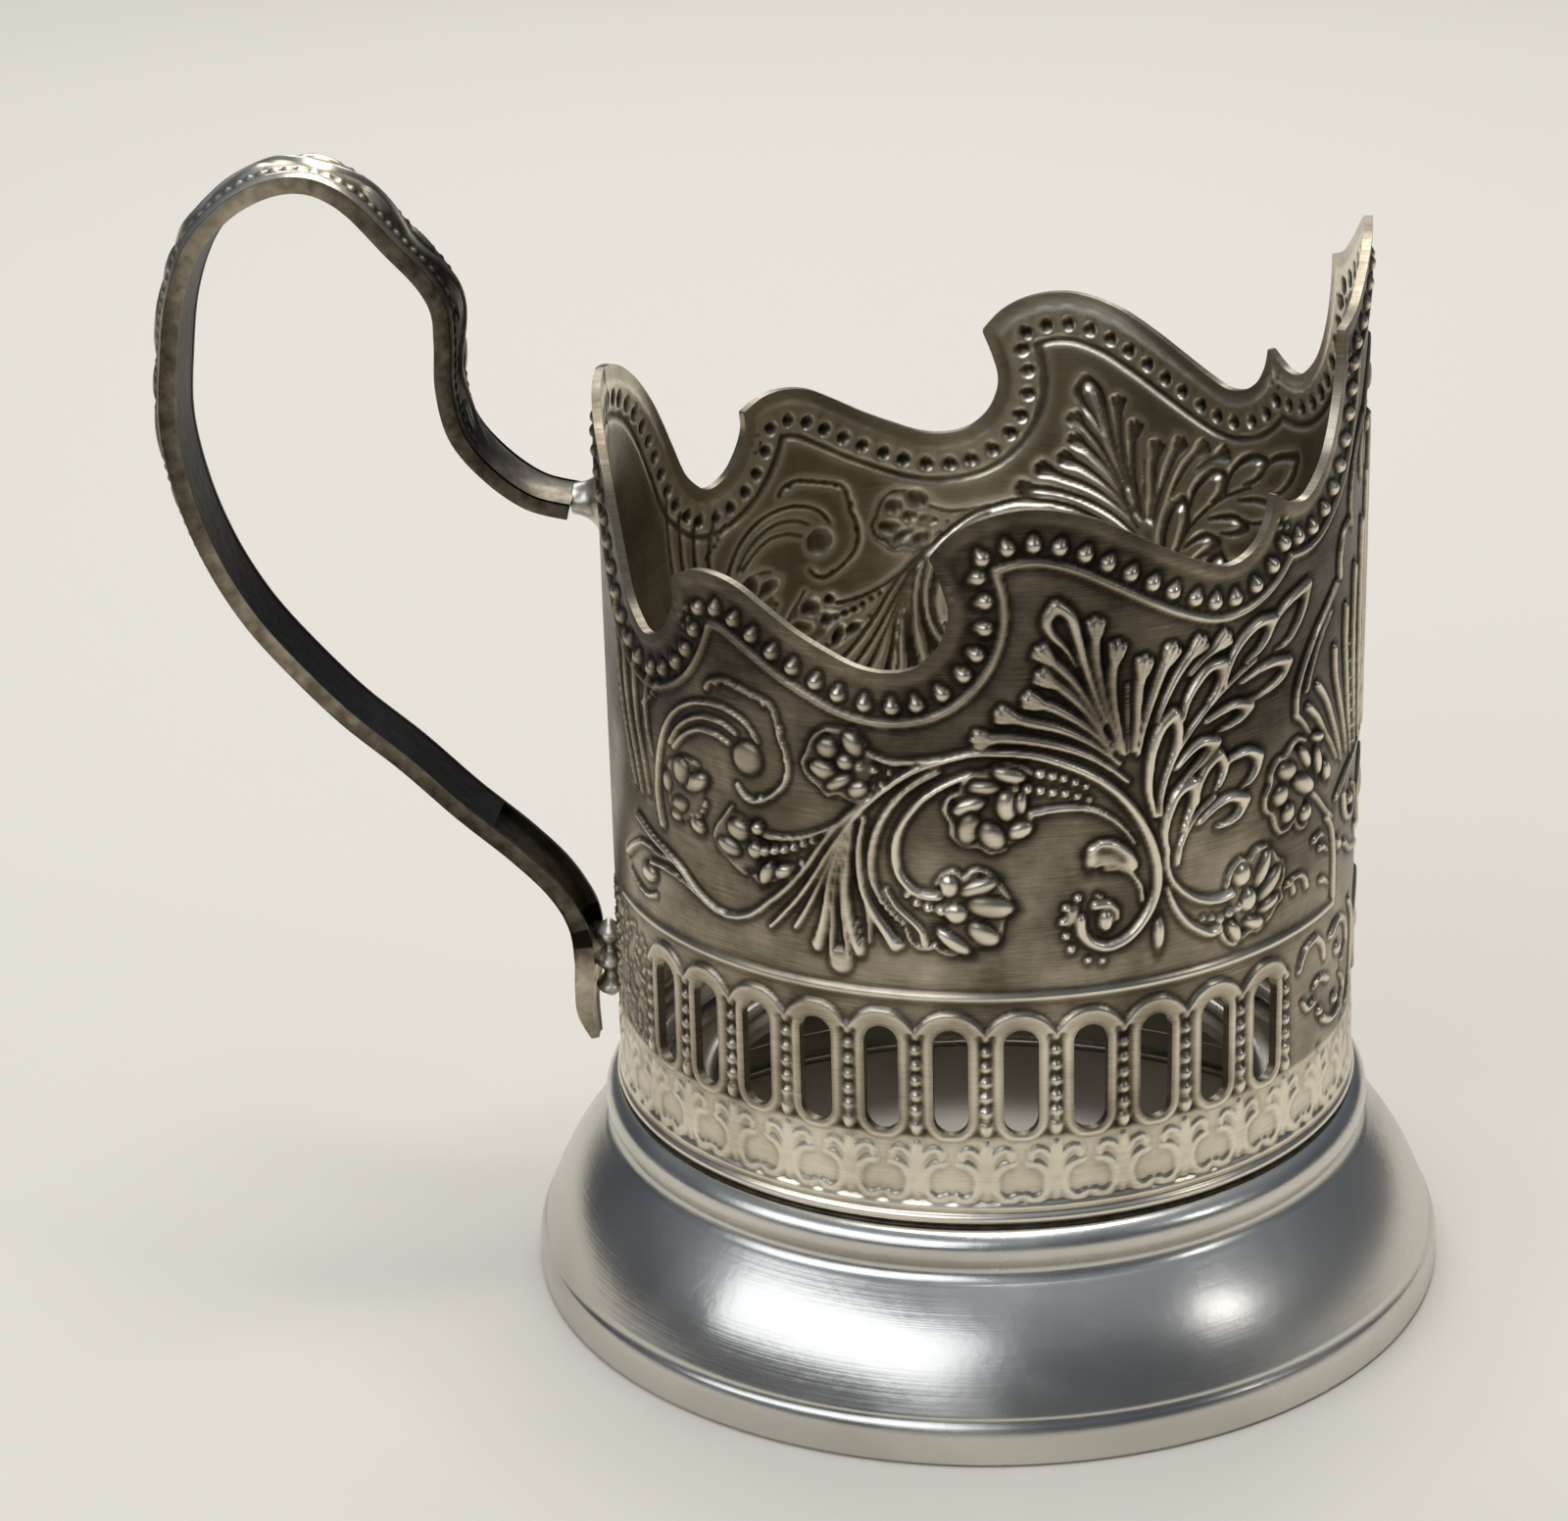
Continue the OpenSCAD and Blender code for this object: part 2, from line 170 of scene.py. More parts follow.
# The ornament, in mm of arc from the tip and mm of height, drawn for one side; the other side
# is its mirror image. Each stem: half-widths at its start and end, height, then its points.
STEMS = [
    # the great S scroll, from its tail under the right fan round to its eye
    (0.25, 0.5, 0.5, [(72.2, 46.6), (71, 47.9), (69.3, 49.9), (67.6, 52.4), (66.2, 54.8),
                      (64.6, 57.2), (62.7, 59.6), (60.8, 61.4), (58.6, 63), (56, 64.1),
                      (53.4, 64.8), (50.8, 64.8), (48, 64.4), (45.4, 63.4), (43, 62.1),
                      (41, 60.5), (39.4, 58.6), (38.1, 56.4), (37.2, 54), (36.9, 51.8),
                      (37.2, 50), (38, 48.4), (39.2, 47), (40.5, 46.2), (41.9, 46),
                      (43.2, 46.6), (44, 47.7), (44.1, 48.9)]),
    (0.5, 0.2, 0.4, [(42.7, 50), (41.6, 50), (40.9, 49.4), (40.8, 48.5)]),
    # the C scroll inside it, smooth, then beaded, then plain
    (0.3, 0.45, 0.5, [(53.6, 62.9), (55.6, 62), (57.6, 60.6), (59.1, 58.8), (60, 56.9),
                      (60.2, 55), (59.8, 53.3), (58.7, 52), (57.4, 51.5), (56.4, 51.5)]),
    (0.35, 0.4, 0.35, [(56.4, 63.1), (58.5, 61.8), (60.2, 60.1), (61.4, 58.2), (62.1, 56.3),
                       (62.4, 54.3), (62.2, 52.5), (61.5, 51)]),
    (0.2, 0.6, 0.5, [(62.9, 58.4), (63.4, 56), (63.4, 53.6), (63.1, 51.6), (62.2, 49.6),
                     (61.1, 47.9), (60.3, 46.6)]),
    (0.25, 0.35, 0.4, [(61, 51.8), (60.1, 50.3), (58.9, 49.2), (58, 48.2), (57.7, 47)]),
    (0.18, 0.18, 0.35, [(56.7, 46.8), (57.8, 46.5), (58.8, 47), (59.3, 48.2)]),
    # the fan of leaves that hangs under it
    (0.15, 0.5, 0.5, [(64, 57.6), (64.5, 54), (64.7, 51), (64.4, 48.5), (63.8, 46.2)]),
    (0.15, 0.25, 0.45, [(64.4, 57), (65, 53.5), (65.1, 50), (64.8, 47), (64.5, 45)]),
    (0.15, 0.25, 0.45, [(64.6, 56.5), (65.5, 53), (65.9, 50), (66.1, 47), (66.2, 45)]),
    (0.15, 0.5, 0.5, [(64.8, 56.5), (66.1, 52.6), (66.6, 49.6), (67.1, 47.2), (67.5, 45.6)]),
    (0.15, 0.3, 0.45, [(65.2, 56), (66.9, 52.2), (68.2, 49.5), (69.6, 47.1)]),
    (0.35, 0.1, 0.35, [(62.8, 50.2), (62.6, 48.4), (62.6, 46.6)]),
    # the long low stem that runs on towards the handle
    (0.3, 0.35, 0.4, [(62.6, 60), (64.6, 58.2), (66.6, 55.8), (68.4, 53.1), (70.2, 50.9),
                      (72.2, 49), (74.4, 47.2), (76.7, 46.4), (79, 46.6), (81.2, 47.6),
                      (83.3, 49), (85.6, 49.9), (88.2, 50.6), (91, 51.6)]),
    (0.15, 0.3, 0.35, [(80.6, 47.1), (83.4, 47.9), (86, 48.2), (88.6, 47.9)]),
    (0.15, 0.3, 0.35, [(84, 49.3), (87, 49.2), (90, 49.3), (92.4, 48.2), (94.4, 46.8)]),
    (0.3, 0.15, 0.35, [(88, 44.8), (89.6, 44.3), (91.6, 44.6), (93.4, 45.4)]),
    # stem and hook leaf inside the great scroll
    (0.15, 0.35, 0.4, [(39.2, 55.4), (40.2, 56.9), (41.6, 58.2), (43.3, 59.1), (45.3, 59.4),
                       (47.2, 59.3), (48.5, 59.1)]),
    (0.15, 0.25, 0.4, [(38.4, 49.8), (38.6, 51.2), (39.4, 52.5), (40.6, 53.2), (41.9, 53.4)]),
    # the stem of the leaf branch, left of the scroll, and its thick double foot
    (0.3, 0.2, 0.45, [(36.8, 57.6), (36.6, 59.6), (35.8, 62), (34.3, 64.3), (32.3, 66.4),
                      (30.3, 67.9), (28.3, 69), (26.6, 69.7)]),
    (0.3, 0.2, 0.4, [(35, 52.7), (34.7, 54.3), (33.8, 56), (32.6, 57.2), (31.1, 58.1)]),
    (0.2, 0.5, 0.55, [(36.1, 53.6), (35.8, 51.8), (34.9, 50.4), (33.4, 49.1), (31.8, 48.4),
                      (30.3, 48.2), (29.1, 48.4)]),
    (0.2, 0.5, 0.5, [(36, 50.6), (35.2, 48.6), (34, 46.9), (32.6, 45.8), (31.4, 45.2),
                     (30.5, 45.4)]),
    # stems of the clusters
    (0.15, 0.3, 0.4, [(56, 64.4), (58.3, 63.9), (60.4, 63.7), (62.5, 64.4)]),
    (0.15, 0.3, 0.4, [(65.2, 57.7), (67.3, 56.4), (69.6, 55.5), (72.2, 55.1), (73.4, 55.4)]),
    (0.2, 0.35, 0.35, [(13.4, 50.6), (15.4, 52.2), (17, 53.8), (18.8, 55.3)]),
    # the scroll towards the handle: a ball, and three bands that bend round it
    (0.2, 0.35, 0.4, [(73.2, 63.8), (74.4, 65.2), (76.4, 66), (78.8, 66.1), (81.2, 65.5),
                      (83.4, 64.1), (85.1, 62), (86.1, 59.6), (86.6, 57), (86.6, 54.6),
                      (86, 52.4)]),
    (0.2, 0.3, 0.35, [(75.6, 64), (77.2, 64.6), (79.2, 64.7), (81.2, 64), (83, 62.7),
                      (84.4, 60.9)]),
    (0.2, 0.3, 0.35, [(76.4, 62.9), (78.2, 63.4), (80.2, 63.3), (82.2, 62.2), (83.8, 60.6)]),
    (0.25, 0.25, 0.35, [(79, 67.6), (78.2, 68.4), (76.6, 68.7), (75, 68.3), (73.4, 68),
                        (71.7, 67.4), (71.1, 66), (70.8, 64.6), (70.2, 63.2), (70.1, 61.6),
                        (70.6, 60.2), (71.9, 59), (73.3, 58.2), (74.6, 58.2), (75.6, 59.2)]),
    (0.2, 0.15, 0.3, [(80.4, 59.8), (82.4, 60), (84, 59), (84.4, 57.6)]),
    # leaf lines between that scroll and the handle's panel
    (0.35, 0.15, 0.35, [(87.6, 66.2), (88.4, 63.6), (88.3, 61), (87.6, 58.6)]),
    (0.35, 0.15, 0.35, [(90.2, 67.6), (90.6, 64.4), (90.2, 61), (89.2, 57.6), (88.4, 54.6)]),
    (0.35, 0.15, 0.35, [(92.6, 69), (92.8, 65.4), (92.2, 61.6), (91, 57.8), (89.8, 54.2)]),
    (0.3, 0.15, 0.35, [(94.8, 71), (94.8, 66.8), (94, 62.2), (92.6, 58), (91.2, 54.6)]),
    # the front palmette and its border, up to the tall tip
    (0.3, 0.3, 0.4, [(13.6, 73), (15.8, 71.3), (17.8, 69.6), (19.6, 67.4), (20.7, 65.2),
                     (20.8, 63.2)]),
    (0.25, 0.25, 0.35, [(14.8, 70.8), (16.6, 69.2), (18.2, 66.9), (19.2, 64.6)]),
    (0.3, 0.15, 0.4, [(20.9, 62.9), (19.6, 61.8), (18.4, 60.4)]),
    (0.4, 0.15, 0.4, [(18.8, 63), (17.2, 61.6), (15.6, 59.6), (14, 57.8), (12.6, 56)]),
    (0.4, 0.15, 0.4, [(17.2, 64.6), (15.4, 62.6), (13.8, 60), (12.4, 57.6), (11.4, 55.4)]),
    (0.4, 0.15, 0.4, [(13.8, 67), (13.5, 64.4), (12.2, 61.4), (10.8, 58.4), (9.8, 55.6)]),
    (0.4, 0.15, 0.4, [(11, 70), (11, 66.6), (10.2, 62.6), (9.2, 58.6), (8.2, 55)]),
    (0.4, 0.15, 0.4, [(8.2, 73), (8.4, 69), (8, 64), (7.2, 59.4), (6.4, 55.2)]),
    (0.4, 0.2, 0.45, [(5.4, 76.4), (5.7, 71.6), (5.4, 65.4), (4.8, 60), (4.2, 55.2)]),
    (0.4, 0.2, 0.45, [(2.5, 80.2), (3, 74.2), (2.9, 67.4), (2.5, 61), (2.1, 55.2)]),
    (0.55, 0.3, 0.5, [(0, 84.6), (0, 77), (0, 69), (0, 61), (0, 54.6)]),
    (0.3, 0.3, 0.4, [(12.9, 73.3), (13, 75.4), (12.3, 77.2), (10.8, 78)]),
    (0.25, 0.25, 0.35, [(9.8, 77.2), (10.4, 79.4), (10, 82), (8.6, 84.4), (6.6, 86.6)]),
    (0.25, 0.25, 0.35, [(6.6, 80.8), (7, 83.2), (6.2, 86), (4.4, 88.6), (2.2, 90.8), (0, 92)]),
    (0.3, 0.3, 0.35, [(12.7, 42.4), (12.7, 45), (12.9, 47.6), (13.6, 49.8), (14.8, 51)]),
    (0.3, 0.25, 0.35, [(12.6, 52), (9.8, 53.6), (6.6, 54.4), (3.4, 54.7), (0, 54.8)]),
    (0.4, 0.2, 0.4, [(10.4, 51.8), (9.9, 49.8), (8.4, 48.6), (6.6, 49), (6, 50.6), (7, 51.6)]),
    (0.35, 0.2, 0.4, [(0, 52.6), (2.4, 51.6), (3.6, 49.4), (3, 47), (1.4, 45.4), (0, 44.6)]),
    (0.35, 0.2, 0.35, [(9.6, 46.6), (7.6, 45.2), (5.2, 44.4), (2.8, 44)]),
    # small scrolls between the front border and the first cluster
    (0.3, 0.2, 0.35, [(18.4, 45.6), (18.8, 46.6), (19.8, 47.2), (21.2, 47.1), (22, 46.8)]),
    (0.3, 0.15, 0.3, [(20.6, 45.8), (20.8, 46.6), (21.8, 46.8)]),
    (0.35, 0.15, 0.35, [(17.2, 49.6), (16.2, 49.9), (15.2, 49.4)]),
    (0.35, 0.15, 0.35, [(16, 48.5), (15, 48.2), (14.3, 47.6)]),
    (0.35, 0.15, 0.3, [(15.6, 45.2), (14.6, 44.8), (13.9, 44.2)]),
    # lobed outlines of the flower clusters
    (0.22, 0.22, 0.4, [(29.6, 49.2), (29.2, 50.5), (28.1, 51.3), (27.1, 50.9), (26.4, 51.6),
                       (25.3, 51.8), (24.2, 51.2), (23.4, 50), (22.5, 49.4), (22.4, 48.1),
                       (22.9, 47.2), (22.6, 46.1), (23.5, 45.6), (24.4, 44.7), (25.6, 43.9),
                       (27, 44.1), (28.5, 43.4), (29.6, 43.9), (30.2, 44.9)]),
    (0.22, 0.22, 0.4, [(19.2, 60), (20.4, 60.5), (21.6, 60.1), (22.4, 59.5), (23.4, 59.4),
                       (24.3, 58.6), (24.5, 57.4), (25.1, 56.4), (25, 55.2), (24.1, 54.4),
                       (23.7, 53.3), (22.9, 52.4), (21.9, 52.4), (21, 53), (20.2, 52),
                       (19.2, 51.8), (18.5, 52.5)]),
    (0.2, 0.2, 0.4, [(48.4, 62.9), (49.6, 63.7), (51.2, 63.6), (52.2, 62.9), (53.4, 62.9),
                     (54.2, 62), (54.5, 61.2), (55.4, 60.7), (55.8, 59.6), (55.2, 58.4),
                     (55.1, 57.2), (54.2, 56.4), (52.9, 56.3), (51.9, 55.7), (50.7, 56)]),
    (0.2, 0.2, 0.4, [(50.4, 56.6), (49.6, 57), (48.7, 57.8), (48.5, 58.8)]),
    (0.2, 0.2, 0.4, [(56.6, 52.7), (56, 53.5), (55, 53.9), (54.2, 53.2), (53.6, 53.9),
                     (52.6, 54), (51.6, 53.3), (51, 52.3), (50.4, 51.3), (50.3, 50.2),
                     (50.9, 49.5), (51.1, 48.5), (51.4, 47.4), (52.4, 46.9), (53.4, 47.3)]),
    (0.18, 0.18, 0.35, [(54.2, 46.8), (55, 46.1), (56.2, 46.3), (56.8, 46.9)]),
    (0.2, 0.2, 0.4, [(62.7, 65.2), (63.6, 66.2), (65, 66.2), (66.4, 66.1), (67.5, 65.2),
                     (68, 63.9), (68.5, 62.8), (68, 61.6), (67, 60.9), (66.2, 60.2),
                     (65.1, 60.5), (64.1, 60), (63, 60.1), (62.4, 60.9)]),
    (0.18, 0.18, 0.35, [(76.3, 57), (77, 56), (77.9, 54.9), (78.4, 53.8), (78, 52.8),
                        (76.9, 52.2), (76, 51.5), (74.9, 51)]),
    (0.18, 0.18, 0.35, [(74, 51), (73.2, 50.5), (72.2, 50.9), (71.2, 51.3), (70, 51.8)]),
]

# Each leaf: height, then one edge from the tip and the other edge from the same tip.
LEAVES = [
    # the branch left of the scroll
    (0.3, [(19.4, 74.7), (21, 74.3), (22.6, 73.8), (24, 72.9), (25.2, 71.4)],
     [(19.4, 74.7), (19.9, 73), (20.9, 71.5), (22.4, 70.2), (24.3, 69.8), (26.2, 69.8)]),
    (0.4, [(24.6, 72.9), (26.2, 73), (27.8, 72.3), (29.2, 71), (30, 69.4), (30.3, 68.2)],
     [(24.6, 72.9), (25.2, 71.6), (26.3, 70.5), (27.6, 69.9), (28.8, 68.9)]),
    (0.3, [(22.2, 68.4), (24.2, 68.8), (26.3, 68.6), (28.4, 68)],
     [(22.2, 68.4), (23, 67.3), (24.6, 66.6), (26.8, 66.2), (29.4, 66.8)]),
    (0.35, [(27.3, 65.6), (28.8, 66.1), (30.4, 65.9), (32.2, 65.3)],
     [(27.3, 65.6), (28.3, 64.8), (29.8, 64.3), (31.8, 64.1)]),
    (0.4, [(31.1, 63.2), (32.6, 63.5), (34, 62.8), (35.3, 61.6)],
     [(31.1, 63.2), (32.6, 61.8), (34, 60.7), (35.6, 59.6)]),
    (0.4, [(30.5, 70.3), (32, 70.2), (33.3, 69), (34.2, 67.6), (34.6, 66.1)],
     [(30.5, 70.3), (30.6, 68.9), (31.4, 67.6), (32.5, 66.7)]),
    (0.45, [(35.5, 66.7), (36.7, 65.7), (37.5, 63.8), (37.8, 61.8), (37.8, 59.8), (37.3, 57.6)],
     [(35.5, 66.7), (35, 65.3), (35.2, 63.8), (36, 61.6), (36.6, 58.6)]),
    (0.4, [(26, 60.6), (27.4, 61.4), (29, 61.3), (30.4, 60.9)],
     [(26, 60.6), (26.3, 59.5), (27.2, 58.5), (28.8, 58)]),
    (0.45, [(30.8, 62), (32.1, 61.1), (32.9, 59.6), (33.1, 58)],
     [(30.8, 62), (30.1, 60.8), (30.6, 59.3), (31.4, 58.2)]),
    (0.5, [(33.5, 60), (35, 59.4), (35.9, 57.7), (36.3, 55.8), (36, 53.9)],
     [(33.5, 60), (33.4, 58.4), (34, 56.8), (35, 54.6)]),
    (0.4, [(27.6, 57), (29.4, 57.6), (31.2, 57.1), (32.9, 56)],
     [(27.6, 57), (28.5, 55.7), (30, 55.2), (31.6, 55.3)]),
    # the great fan's own leaf
    (0.4, [(46.2, 77.8), (45, 76.8), (44.4, 75), (43.8, 72.6), (42.9, 69.6), (41.9, 67)],
     [(46.2, 77.8), (47, 76.6), (46.6, 75.3), (45.4, 73.9), (44.4, 72), (43.5, 69.8)]),
    # hook leaf in the scroll
    (0.45, [(39.4, 53.4), (39.9, 54.5), (41, 55.5), (42.3, 55.8), (43.3, 55.3)],
     [(39.4, 53.4), (41, 53.9), (42.4, 53.9), (43.3, 53.4)]),
]

# Ribs of the great fan over the scroll, each from its tip to the fan's foot.
FAN = [
    [(30.4, 72.4), (31.6, 71.7), (32.8, 71), (33.9, 70)],
    [(33, 72.5), (34.2, 71.4), (35.3, 70), (36.3, 68.2), (37.1, 66.4)],
    [(35.8, 72.3), (36.7, 70.7), (37.6, 68.4), (38.4, 66), (38.9, 63.6)],
    [(38.4, 71.6), (38.8, 69.6), (39, 66.8), (39.3, 64)],
    [(40.9, 73.3), (41.3, 71.2), (41.2, 68.8), (40.7, 66.2), (40.2, 63.8)],
    [(42.8, 75.6), (42.8, 73.2), (42.3, 70.2), (41.6, 67.4), (40.7, 64.6)],
    [(47.3, 73.6), (46.3, 72.6), (44.8, 71), (43.4, 68.9), (42.2, 66.6)],
    [(47.2, 71.4), (45.8, 70.4), (44.2, 68.8), (42.8, 66.9), (41.6, 65.2)],
    [(48.3, 69.4), (46.4, 68.6), (44.4, 67.3), (42.8, 65.9), (41.3, 64.3)],
    [(50.6, 68.2), (48.6, 67.5), (46.2, 66.8), (44, 65.7), (42.2, 64.4), (40.6, 63)],
    [(52.6, 66.1), (50.4, 66.1), (48, 65.7), (45.6, 65), (43.4, 64), (41.4, 62.6), (39.8, 61.2)],
]

# Raised grounds of the flower clusters: middle and the two half-widths of each.
GROUNDS = [
    (25.9, 47.8, 2.9, 3.6), (21.7, 56.2, 2.7, 3.5), (51.9, 59.6, 2.9, 3.4),
    (53.3, 50.2, 2.5, 3.1), (65, 63.1, 2.8, 2.7), (75.6, 53.9, 2.3, 2.4),
    (82.7, 57, 2.7, 2.8),
]

# Each petal of a cluster: middle, half-length, half-width, turn in degrees, height.
PETALS = [
    # first cluster, above the slots near the front
    (25.4, 49.7, 1.35, 0.6, 118, 0.5), (27.9, 49.8, 0.8, 0.8, 0, 0.45),
    (24.4, 48, 1.5, 0.65, 140, 0.5), (24.5, 46.1, 1.1, 0.5, -15, 0.45),
    (26.4, 44.9, 1.05, 0.5, 20, 0.45), (28.7, 44.7, 0.9, 0.45, 60, 0.45),
    (27.2, 47.3, 0.85, 0.75, 90, 0.6),
    # second cluster, higher
    (22.2, 58, 1.1, 0.7, 20, 0.5), (23.1, 56, 0.85, 0.8, 0, 0.5), (22, 54, 0.75, 0.75, 0, 0.5),
    (19.2, 53.1, 0.75, 0.65, 0, 0.5), (19.6, 56, 1.5, 0.7, 28, 0.55),
    (19.4, 58.5, 1.1, 0.45, 55, 0.45), (17, 57.4, 1.1, 0.4, 80, 0.4),
    (15.2, 55.8, 0.8, 0.5, 70, 0.4), (17, 59.6, 0.9, 0.35, 20, 0.35),
    # cluster inside the great scroll
    (50.3, 62.8, 1.1, 0.55, 15, 0.5), (52.4, 61.7, 1.1, 0.5, 0, 0.45),
    (53.7, 60, 1.15, 0.6, -25, 0.55), (53.7, 58, 0.75, 1.1, 15, 0.5),
    (51.8, 57.3, 1.05, 0.8, 55, 0.55), (49.4, 57.7, 0.85, 0.6, -25, 0.5),
    (50.5, 60, 0.75, 1.1, 0, 0.65), (49.3, 60.2, 0.4, 0.8, 0, 0.5),
    # cluster at the C scroll's end
    (53, 52.4, 1.25, 0.6, -22, 0.5), (55.5, 52.5, 0.6, 0.8, 0, 0.5),
    (52, 50.6, 1.5, 0.8, 8, 0.55), (52.6, 48.1, 1.15, 0.75, 35, 0.5),
    (55.2, 47.3, 1.3, 0.55, 38, 0.5), (54.9, 50, 0.75, 0.75, 0, 0.6),
    # cluster right of the scroll's crest
    (63.8, 65.1, 0.95, 0.65, 60, 0.5), (66.1, 64.5, 0.8, 0.75, 0, 0.5),
    (66.5, 62.4, 1.05, 0.65, 15, 0.5), (65.1, 61.5, 1.05, 0.45, -30, 0.5),
    (63.4, 61, 0.75, 0.55, -30, 0.45), (64.5, 63.4, 0.65, 0.6, 0, 0.55),
    # cluster over the low stem
    (75.5, 55, 0.95, 0.75, 10, 0.5), (76.6, 53.2, 1.05, 0.6, 12, 0.45),
    (70.8, 52.1, 0.75, 0.5, -30, 0.45), (72.5, 51.6, 0.95, 0.5, 115, 0.45),
    (73.7, 53.5, 0.6, 0.6, 0, 0.5), (73.4, 55.6, 0.5, 0.5, 0, 0.45),
    # cluster in the scroll towards the handle
    (80.8, 58.1, 1.2, 0.65, -25, 0.4), (82.7, 58.7, 0.85, 0.95, 0, 0.4),
    (84.8, 57.1, 0.55, 0.8, 0, 0.35), (83, 55.4, 0.9, 0.6, -20, 0.35),
    (80.7, 54, 0.7, 0.5, 20, 0.3), (83.6, 54.2, 0.6, 0.45, 0, 0.3),
    (89, 46.7, 0.95, 0.65, 0, 0.4),
]

# Each single button or bud: middle, half-length, half-width, turn in degrees, height.
BUTTONS = [
    # hook leaf, drop, eye and ball
    (41.7, 54.5, 1.85, 0.95, 12, 0.5), (43.1, 54.6, 0.55, 1.05, 10, 0.5),
    (36.75, 46.4, 1.5, 0.5, 90, 0.5), (41.8, 48.5, 0.7, 1.05, 0, 0.55),
    (44.9, 49.3, 0.5, 1.1, 20, 0.35), (74.4, 62, 1.55, 1.5, 0, 0.4),
    # bulbs at the ends of the hanging fan
    (65.35, 44.6, 1.15, 1.3, 0, 0.4), (67.5, 45.9, 0.6, 0.75, 0, 0.5),
    (63.6, 46, 0.55, 0.85, 0, 0.5), (60.2, 46.9, 0.75, 0.6, 40, 0.5),
    # buds in the front panel
    (0, 49, 1.2, 2, 0, 0.5), (8.1, 50.4, 0.7, 0.7, 0, 0.45), (11.5, 47.3, 0.8, 0.5, 60, 0.4),
    (4.6, 46.4, 0.7, 0.7, 0, 0.4), (0, 88.2, 0.8, 1.5, 0, 0.45), (3.2, 84.6, 0.5, 0.9, -20, 0.4),
]

PETAL_SWELL = 1.42  # each petal is drawn this many times as large as its row says

# Each row of beads: radius at its start and end, count, then the line it follows.
BEAD_ROWS = [
    (0.5, 0.25, 5, [(28.4, 46.9), (29.4, 46.5), (30.4, 46.3), (31.3, 46.6), (32.2, 46.8)]),
    (0.25, 0.45, 7, [(43.3, 60), (45, 60.6), (46.5, 60.9), (48.2, 61.3), (49.8, 61.6)]),
    (0.25, 0.45, 5, [(43.6, 61.2), (45.5, 62.1), (47.6, 62.7)]),
    (0.3, 0.3, 13, [(57.4, 62.6), (59.4, 61), (61, 59), (62, 56.6), (62.4, 54.4), (62.1, 52.4)]),
    (0.35, 0.25, 5, [(61.4, 50.7), (60.6, 49.7), (59.6, 48.8)]),
    (0.55, 0.35, 4, [(56.2, 50.2), (57.4, 50.4), (58.4, 50.8), (59.2, 51.5)]),
    (0.25, 0.5, 3, [(60.6, 62.7), (61.9, 62.9), (63.2, 63.1)]),
    (0.2, 0.2, 2, [(61.4, 61.6), (62, 61.3)]),
    (0.3, 0.55, 6, [(67.8, 55.5), (69, 54.9), (70.3, 54.3), (71.6, 53.9), (72.7, 53.6)]),
    (0.25, 0.2, 2, [(69, 53.2), (69.8, 52.6)]),
    (0.2, 0.25, 8, [(42.4, 66), (41.4, 65.1), (40.5, 64)]),
    (0.2, 0.2, 14, [(39.9, 70), (39.9, 66.8), (39.8, 64)]),
    (0.2, 0.2, 9, [(34.4, 71), (35.6, 69.4), (36.8, 67.2)]),
    (0.35, 0.35, 5, [(44.3, 50.9), (45.3, 50.2), (45.7, 49.2), (45.5, 47.9), (44.9, 46.1)]),
    (0.3, 0.3, 2, [(43.4, 44.9), (42.1, 44.7)]),
    (0.2, 0.2, 2, [(42.3, 50.8), (42.6, 51)]),
    (0.2, 0.2, 3, [(63.7, 48.4), (63.5, 47.6), (63.3, 46.8)]),
    (0.22, 0.2, 4, [(66.5, 49.2), (66.9, 48.5), (67.3, 47.6), (67.6, 47)]),
    (0.28, 0.28, 15, [(78.9, 67.5), (76.6, 68.6), (73.4, 67.9), (71.2, 66.6), (70.4, 63.4),
                      (70.2, 61.2), (71.8, 59), (74.4, 58.2)]),
    (0.3, 0.3, 4, [(79.6, 56.3), (79.9, 55.7), (80.4, 55.1), (81.2, 54.9)]),
    (0.25, 0.3, 7, [(9.6, 66), (9, 62), (8.2, 58.6), (7.4, 55.8)]),
    (0.25, 0.3, 8, [(1.4, 76), (1.4, 68), (1.1, 60), (1, 56)]),
    (0.3, 0.3, 6, [(86, 66), (87.4, 64.4), (88.8, 63.4)]),
]

NO_EDGE = 9.0  # mm, where no form's edge is near
MARGIN = 1.2  # mm of grid that is worked on round a band
relief = np.zeros(S.shape)
edge_gap = np.full(S.shape, NO_EDGE)
crease = np.zeros(S.shape)


def window(lo, hi):
    """The block of the grid that covers a box in arc and height."""
    i0, i1 = np.searchsorted(s_axis, [lo[0], hi[0]])
    k0, k1 = np.searchsorted(z_axis, [lo[1], hi[1]])
    return slice(max(i0 - 1, 0), i1 + 1), slice(max(k0 - 1, 0), k1 + 1)


def press(block, height, gap):
    """Adds one raised form: the highest form wins, and the distance to the nearest edge of
    any form is kept for the sunk outline round it."""
    relief[block] = np.maximum(relief[block], height)
    edge_gap[block] = np.minimum(edge_gap[block], gap)


def stem(w0, w1, high, points):
    """A band along a curve. Across it the height is the square root of one less the squared
    share of its half-width; the half-width goes evenly from the first value to the second."""
    line = smooth(points, 6)
    block = window(line.min(0) - MARGIN, line.max(0) + MARGIN)
    p = np.stack([S[block].ravel(), Z[block].ravel()], 1)
    if not len(p):
        return
    d, _, along = nearest(p, line)
    size = np.hypot(*np.diff(line, axis=0).T).sum()
    w = w0 + (w1 - w0) * along / size
    height = high * np.sqrt(np.clip(1 - (d / w) ** 2, 0, 1))
    press(block, height.reshape(S[block].shape), (d - w).reshape(S[block].shape))


